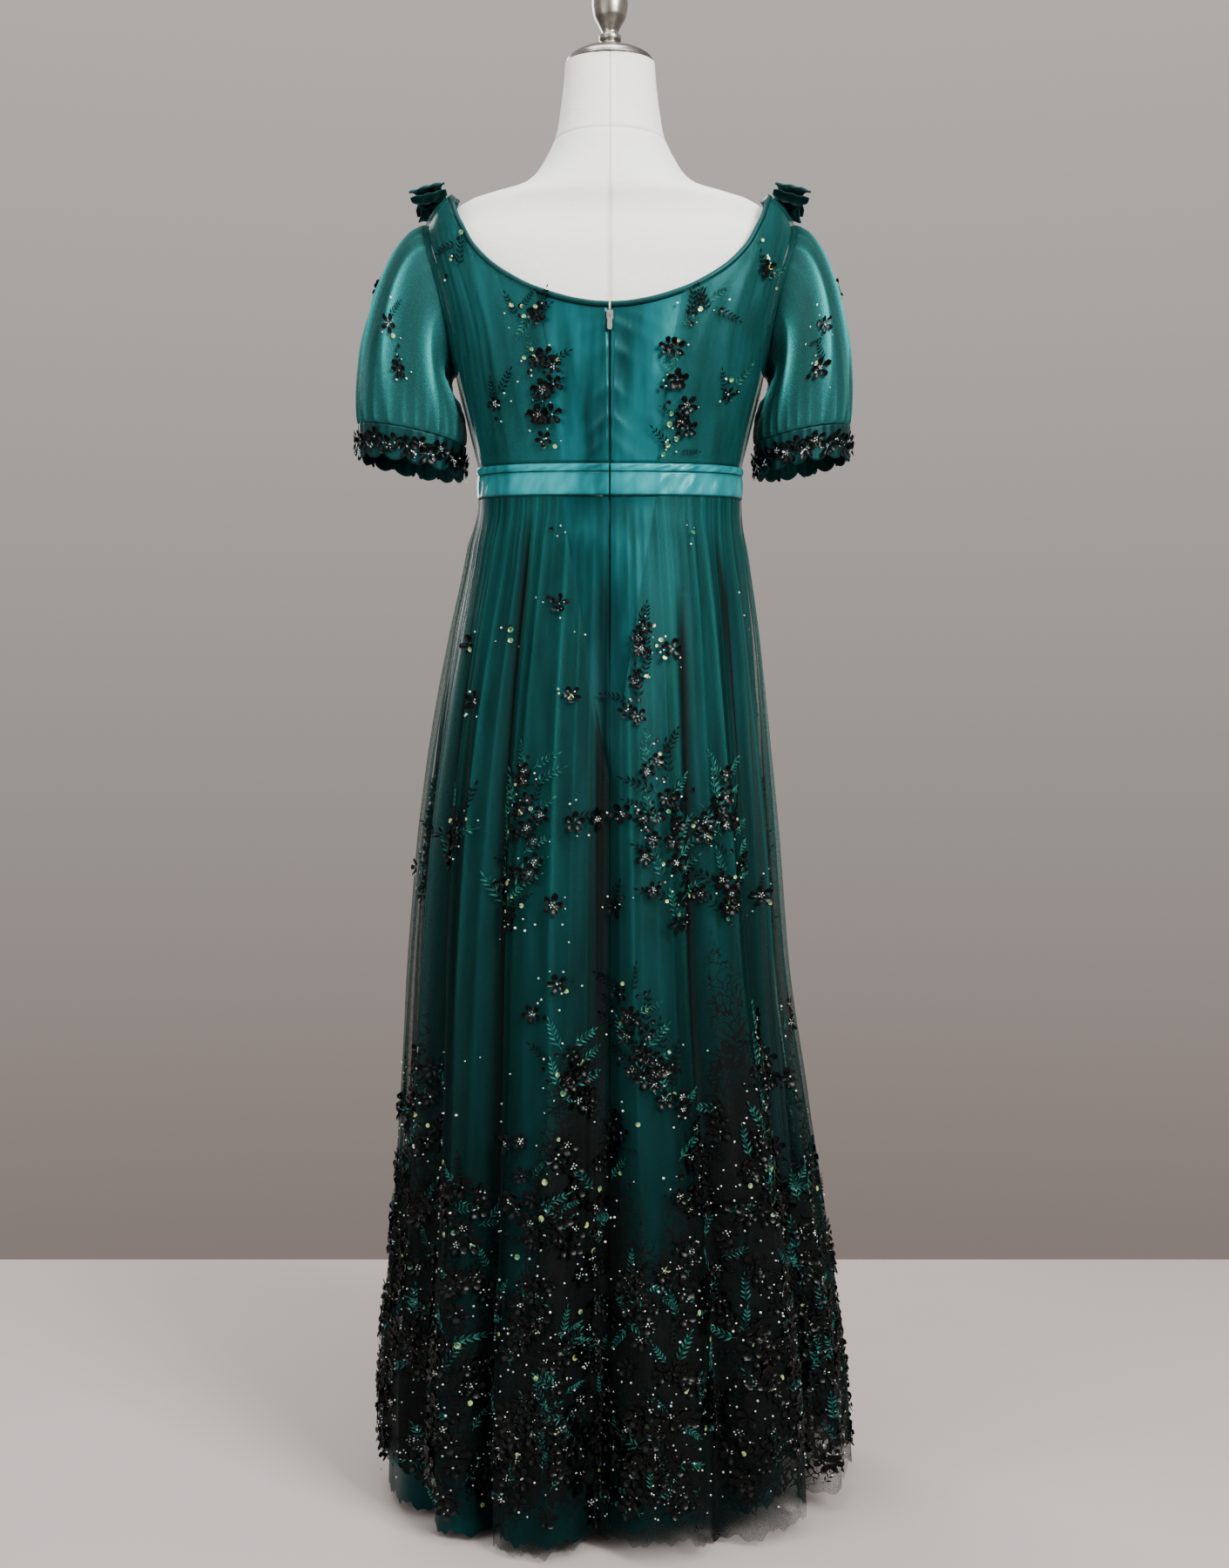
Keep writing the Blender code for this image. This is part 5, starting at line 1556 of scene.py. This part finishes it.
# Sprigs round the skirt: how many stand in each band of height, their size, and how many
# flowers, sequins, beads and sprays each has.
SPRIG_BANDS = table(
    ("low", "high", "sprigs", "size", "flowers", "discs", "beads", "sprays"),
    (0.92, 1.03, 3, 0.012, 0, 1, 3, 0),
    (0.80, 0.92, 4, 0.013, 1, 1, 4, 0),
    (0.68, 0.80, 5, 0.014, 1, 1, 5, 1),
    (0.56, 0.68, 8, 0.016, 1, 2, 6, 1),
    (0.46, 0.56, 42, 0.019, 2, 1, 3, 2),
    (0.36, 0.46, 70, 0.022, 3, 2, 2, 2),
    (0.27, 0.36, 88, 0.023, 4, 2, 2, 3),
    (0.18, 0.27, 104, 0.023, 4, 1, 2, 3),
    (0.09, 0.18, 112, 0.023, 5, 1, 2, 3),
    (0.03, 0.09, 64, 0.020, 4, 1, 2, 3),
)

# Tall stems on the skirt: the angle, where each starts and ends, and its lean to the left.
STEMS = table(
    ("angle", "low", "high", "lean"),
    (112.0, 0.625, 0.800, -0.12),
    (60.0, 0.640, 0.785, 0.14),
    (131.0, 0.630, 0.790, 0.04),
    (35.0, 0.690, 0.745, 0.25),
    (98.0, 0.850, 0.965, 0.06),
    (97.0, 0.480, 0.560, -0.10),
    (78.0, 0.460, 0.500, 0.10),
    (107.0, 0.440, 0.500, -0.30),
    (138.0, 0.330, 0.520, 0.04),
    (150.0, 0.180, 0.360, 0.06),
    (200.0, 0.600, 0.760, 0.10),
    (232.0, 0.640, 0.790, -0.12),
    (262.0, 0.610, 0.760, 0.08),
    (291.0, 0.640, 0.810, -0.08),
    (322.0, 0.600, 0.770, 0.12),
    (350.0, 0.640, 0.760, -0.06),
)

# Single motifs on the bodice: the distance right of centre back as seen from behind (left as
# seen from the front), the height, the side, and how much of each kind.
BODICE_SPRIGS = table(
    ("across", "height", "front", "size", "flowers", "discs", "beads", "sprays"),
    (-0.098, 1.268, 0, 0.011, 0, 7, 3, 3),
    (-0.076, 1.262, 0, 0.009, 1, 5, 2, 2),
    (-0.074, 1.216, 0, 0.012, 3, 7, 6, 2),
    (-0.070, 1.186, 0, 0.009, 2, 3, 5, 1),
    (-0.072, 1.160, 0, 0.010, 3, 2, 8, 1),
    (-0.068, 1.134, 0, 0.008, 1, 2, 5, 1),
    (0.104, 1.270, 0, 0.011, 0, 3, 2, 4),
    (0.080, 1.258, 0, 0.009, 0, 2, 2, 3),
    (0.068, 1.228, 0, 0.009, 2, 1, 6, 1),
    (0.070, 1.196, 0, 0.009, 2, 3, 5, 1),
    (0.074, 1.158, 0, 0.013, 4, 5, 6, 1),
    (0.066, 1.126, 0, 0.009, 0, 3, 5, 2),
    (-0.118, 1.176, 0, 0.010, 1, 2, 4, 2),
    (0.122, 1.186, 0, 0.010, 1, 2, 4, 2),
    (-0.168, 1.372, 0, 0.010, 0, 5, 2, 2),
    (0.168, 1.372, 0, 0.010, 1, 4, 3, 2),
    (-0.062, 1.216, 1, 0.012, 3, 4, 6, 2),
    (0.060, 1.212, 1, 0.012, 3, 4, 6, 2),
    (-0.022, 1.222, 1, 0.011, 2, 3, 7, 1),
    (0.030, 1.176, 1, 0.011, 3, 3, 7, 1),
    (-0.044, 1.160, 1, 0.010, 3, 2, 6, 1),
    (0.092, 1.170, 1, 0.010, 2, 2, 5, 1),
    (-0.096, 1.166, 1, 0.010, 2, 2, 5, 1),
)


def angle_across(surface, x, height, front):
    """The angle where a surface lies x from the middle at a height."""
    angles = np.linspace(180.0, 360.0, 721) if front else np.linspace(180.0, 0.0, 721)
    return float(np.interp(x, surface(angles, height + 0.0 * angles)[:, 0], angles))


# Small motifs near the top of the skirt's back: distance right of the middle, and the height.
SKIRT_MOTIFS = table(
    ("across", "height", "flowers", "discs", "beads"),
    (-0.053, 1.049, 0, 1, 6),
    (0.088, 1.046, 0, 2, 7),
    (-0.053, 0.955, 1, 1, 6),
    (0.066, 0.907, 1, 2, 6),
    (-0.040, 0.858, 1, 1, 5),
    (-0.145, 0.853, 1, 1, 4),
    (-0.107, 0.924, 0, 3, 3),
    (0.013, 0.735, 1, 1, 5),
    (-0.013, 0.730, 1, 1, 5),
    (0.116, 0.735, 1, 2, 5),
    (-0.057, 0.643, 1, 1, 6),
    (-0.053, 0.564, 1, 1, 6),
    (-0.079, 0.533, 1, 1, 6),
    (0.163, 0.502, 2, 2, 5),
    (0.165, 0.432, 2, 2, 5),
    (0.040, 0.492, 1, 3, 6),
)


# Sprigs on each sleeve: the turn from the shoulder by the back, how far down, and the size.
SLEEVE_SPRIGS = ((62.0, 0.52, 0.012), (-50.0, 0.50, 0.012), (10.0, 0.44, 0.010), (84.0, 0.70, 0.010))


def work_skirt(work):
    rng = work.rng
    for low, high, sprigs, size, *kinds in zip(*SPRIG_BANDS.values()):
        kinds = [int(k) for k in kinds]
        turns = (np.arange(sprigs) + rng.uniform(-0.38, 0.38, int(sprigs))) * 360.0 / sprigs
        for angle in turns % 360.0:
            height, chance = rng.uniform(low, high), rng.random()
            if height > 0.56 or chance < 0.12 + work_density(angle, height):
                work.sprig("skirt", (angle, height), size, kinds)
    for stem in zip(*STEMS.values()):
        work.climbing("skirt", *stem)
    for across, height, *kinds in zip(*SKIRT_MOTIFS.values()):
        angle = angle_across(skirt_outline, -across, height, False)
        work.sprig("skirt", (angle, height), 0.011, [*(int(k) for k in kinds), 0])


def work_bodice(work):
    for across, height, front, size, *kinds in zip(*BODICE_SPRIGS.values()):
        angle = angle_across(body, across if front else -across, height, bool(front))
        work.sprig("bodice", (angle, height), size, [int(k) for k in kinds])


def work_sleeve(work, side):
    """A few sprigs on the sleeve, and two rows of flowers and beads round its cuff."""
    rng, cuff = work.rng, "cuff_" + side
    for turn, share, size in SLEEVE_SPRIGS:
        work.sprig("sleeve_" + side, (turn + rng.normal(0, 4), share), size, (1, 2, 5, 1))
    for k in range(CUFF_SCALLOPS):
        turn = (k + 0.5 + rng.normal(0, 0.08)) * 360.0 / CUFF_SCALLOPS
        work.blossom(cuff, (turn, rng.uniform(0.62, 0.76)), 0.0120)
        work.blossom(cuff, (turn + 13.0, rng.uniform(0.36, 0.50)), 0.0105)
        work.ring_of_beads(cuff, (turn + 6.0, rng.uniform(0.60, 0.80)), 0.0030, 6)
        work.add("disc", cuff, (turn - 9.0, 0.42), 0.0026)


def strew_beads(work):
    """Loose beads over the skirt, most where it is thickly worked."""
    rng = work.rng
    for share, angle in zip(rng.beta(1.2, 2.6, LOOSE_BEADS), rng.uniform(0.0, 360.0, LOOSE_BEADS)):
        height = 0.035 + share * 0.60
        if rng.random() < 0.10 + work_density(angle, height):
            work.add("bead", "skirt", (angle, height), rng.uniform(0.0007, 0.0012))


def build_embroidery():
    work = Embroidery(SEED)
    work_skirt(work)
    work_bodice(work)
    for side in ("left", "right"):
        work_sleeve(work, side)
    strew_beads(work)
    work.build()


# ---------------------------------------------------------------- stage, light and camera
def build_stage():
    """A plain pale floor."""
    left, right, before, behind = -1.7, 1.7, -0.95, 1.9
    n = Nodes("studio_floor")
    grain = n.spread(n.noise(2.2, 3.0), 0.3, 0.7)
    n.colour(n.blend(grain, (0.49, 0.430, 0.415), (0.51, 0.450, 0.435)))
    n.set(Roughness=0.85, Specular_IOR_Level=0.1)
    mesh = bpy.data.meshes.new("studio_floor")
    corners = [(left, before, 0.0), (right, before, 0.0), (right, behind, 0.0), (left, behind, 0.0)]
    mesh.from_pydata(corners, [], [(0, 1, 2, 3)])
    mesh.materials.append(n.material)
    floor = bpy.data.objects.new("studio_floor", mesh)
    bpy.context.scene.collection.objects.link(floor)


def build_air():
    """The light all round: a warm grey that pales upwards, as a plain wall does."""
    n = Nodes("studio_air", world=True)
    coords, split = n.add("ShaderNodeTexCoord"), n.add("ShaderNodeSeparateXYZ")
    n.join(coords.outputs["Generated"], split.inputs["Vector"])
    rise = split.outputs["Z"]
    wall = n.blend(n.spread(rise, -0.25, 0.38), (0.235, 0.190, 0.170), (0.560, 0.520, 0.495))
    n.join(n.blend(n.spread(rise, 0.45, 0.60), wall, (0.40, 0.39, 0.38)), n.shader.inputs["Color"])
    bpy.context.scene.world = n.material


def area_light(name, spot, towards, size, power, colour):
    light = bpy.data.lights.new(name, "AREA")
    light.shape, light.size, light.size_y = "RECTANGLE", size[0], size[1]
    light.energy, light.color = power, colour
    holder = bpy.data.objects.new(name, light)
    aim = np.array(towards) - np.array(spot)
    holder.rotation_euler = (
        math.atan2(math.hypot(aim[0], aim[1]), -aim[2]),
        0.0,
        math.atan2(-aim[0], aim[1]),
    )
    holder.location = spot
    bpy.context.scene.collection.objects.link(holder)


def build_lights():
    area_light("key", (-1.55, 2.30, 2.35), (0.0, 0.0, 1.00), (1.1, 1.3), 150.0, (1.0, 0.985, 0.96))
    area_light("fill", (1.90, 2.40, 1.55), (0.0, 0.0, 0.90), (1.8, 2.0), 34.0, (0.97, 0.985, 1.0))
    area_light("front", (1.30, -2.60, 2.10), (0.0, 0.0, 0.95), (1.6, 1.8), 70.0, (1.0, 0.99, 0.97))
    area_light("top", (0.20, 0.60, 3.00), (0.0, -0.2, 0.6), (1.8, 1.2), 44.0, (1.0, 1.0, 1.0))


def build_camera():
    lens = bpy.data.cameras.new("camera")
    lens.lens, lens.sensor_width, lens.sensor_fit = 43.9, 36.0, "AUTO"
    camera = bpy.data.objects.new("camera", lens)
    camera.location = (-0.005, 2.13, 0.766)
    camera.rotation_euler = (math.pi / 2, 0.0, math.pi)
    bpy.context.scene.collection.objects.link(camera)
    bpy.context.scene.camera = camera


build_bodice()
build_binding()
build_waistband()
build_skirts()
build_sleeves()
build_cuffs()
build_bows()
build_torso()
build_finial()
paint_hard_parts()
build_embroidery()
build_stage()
build_air()
build_lights()
build_camera()
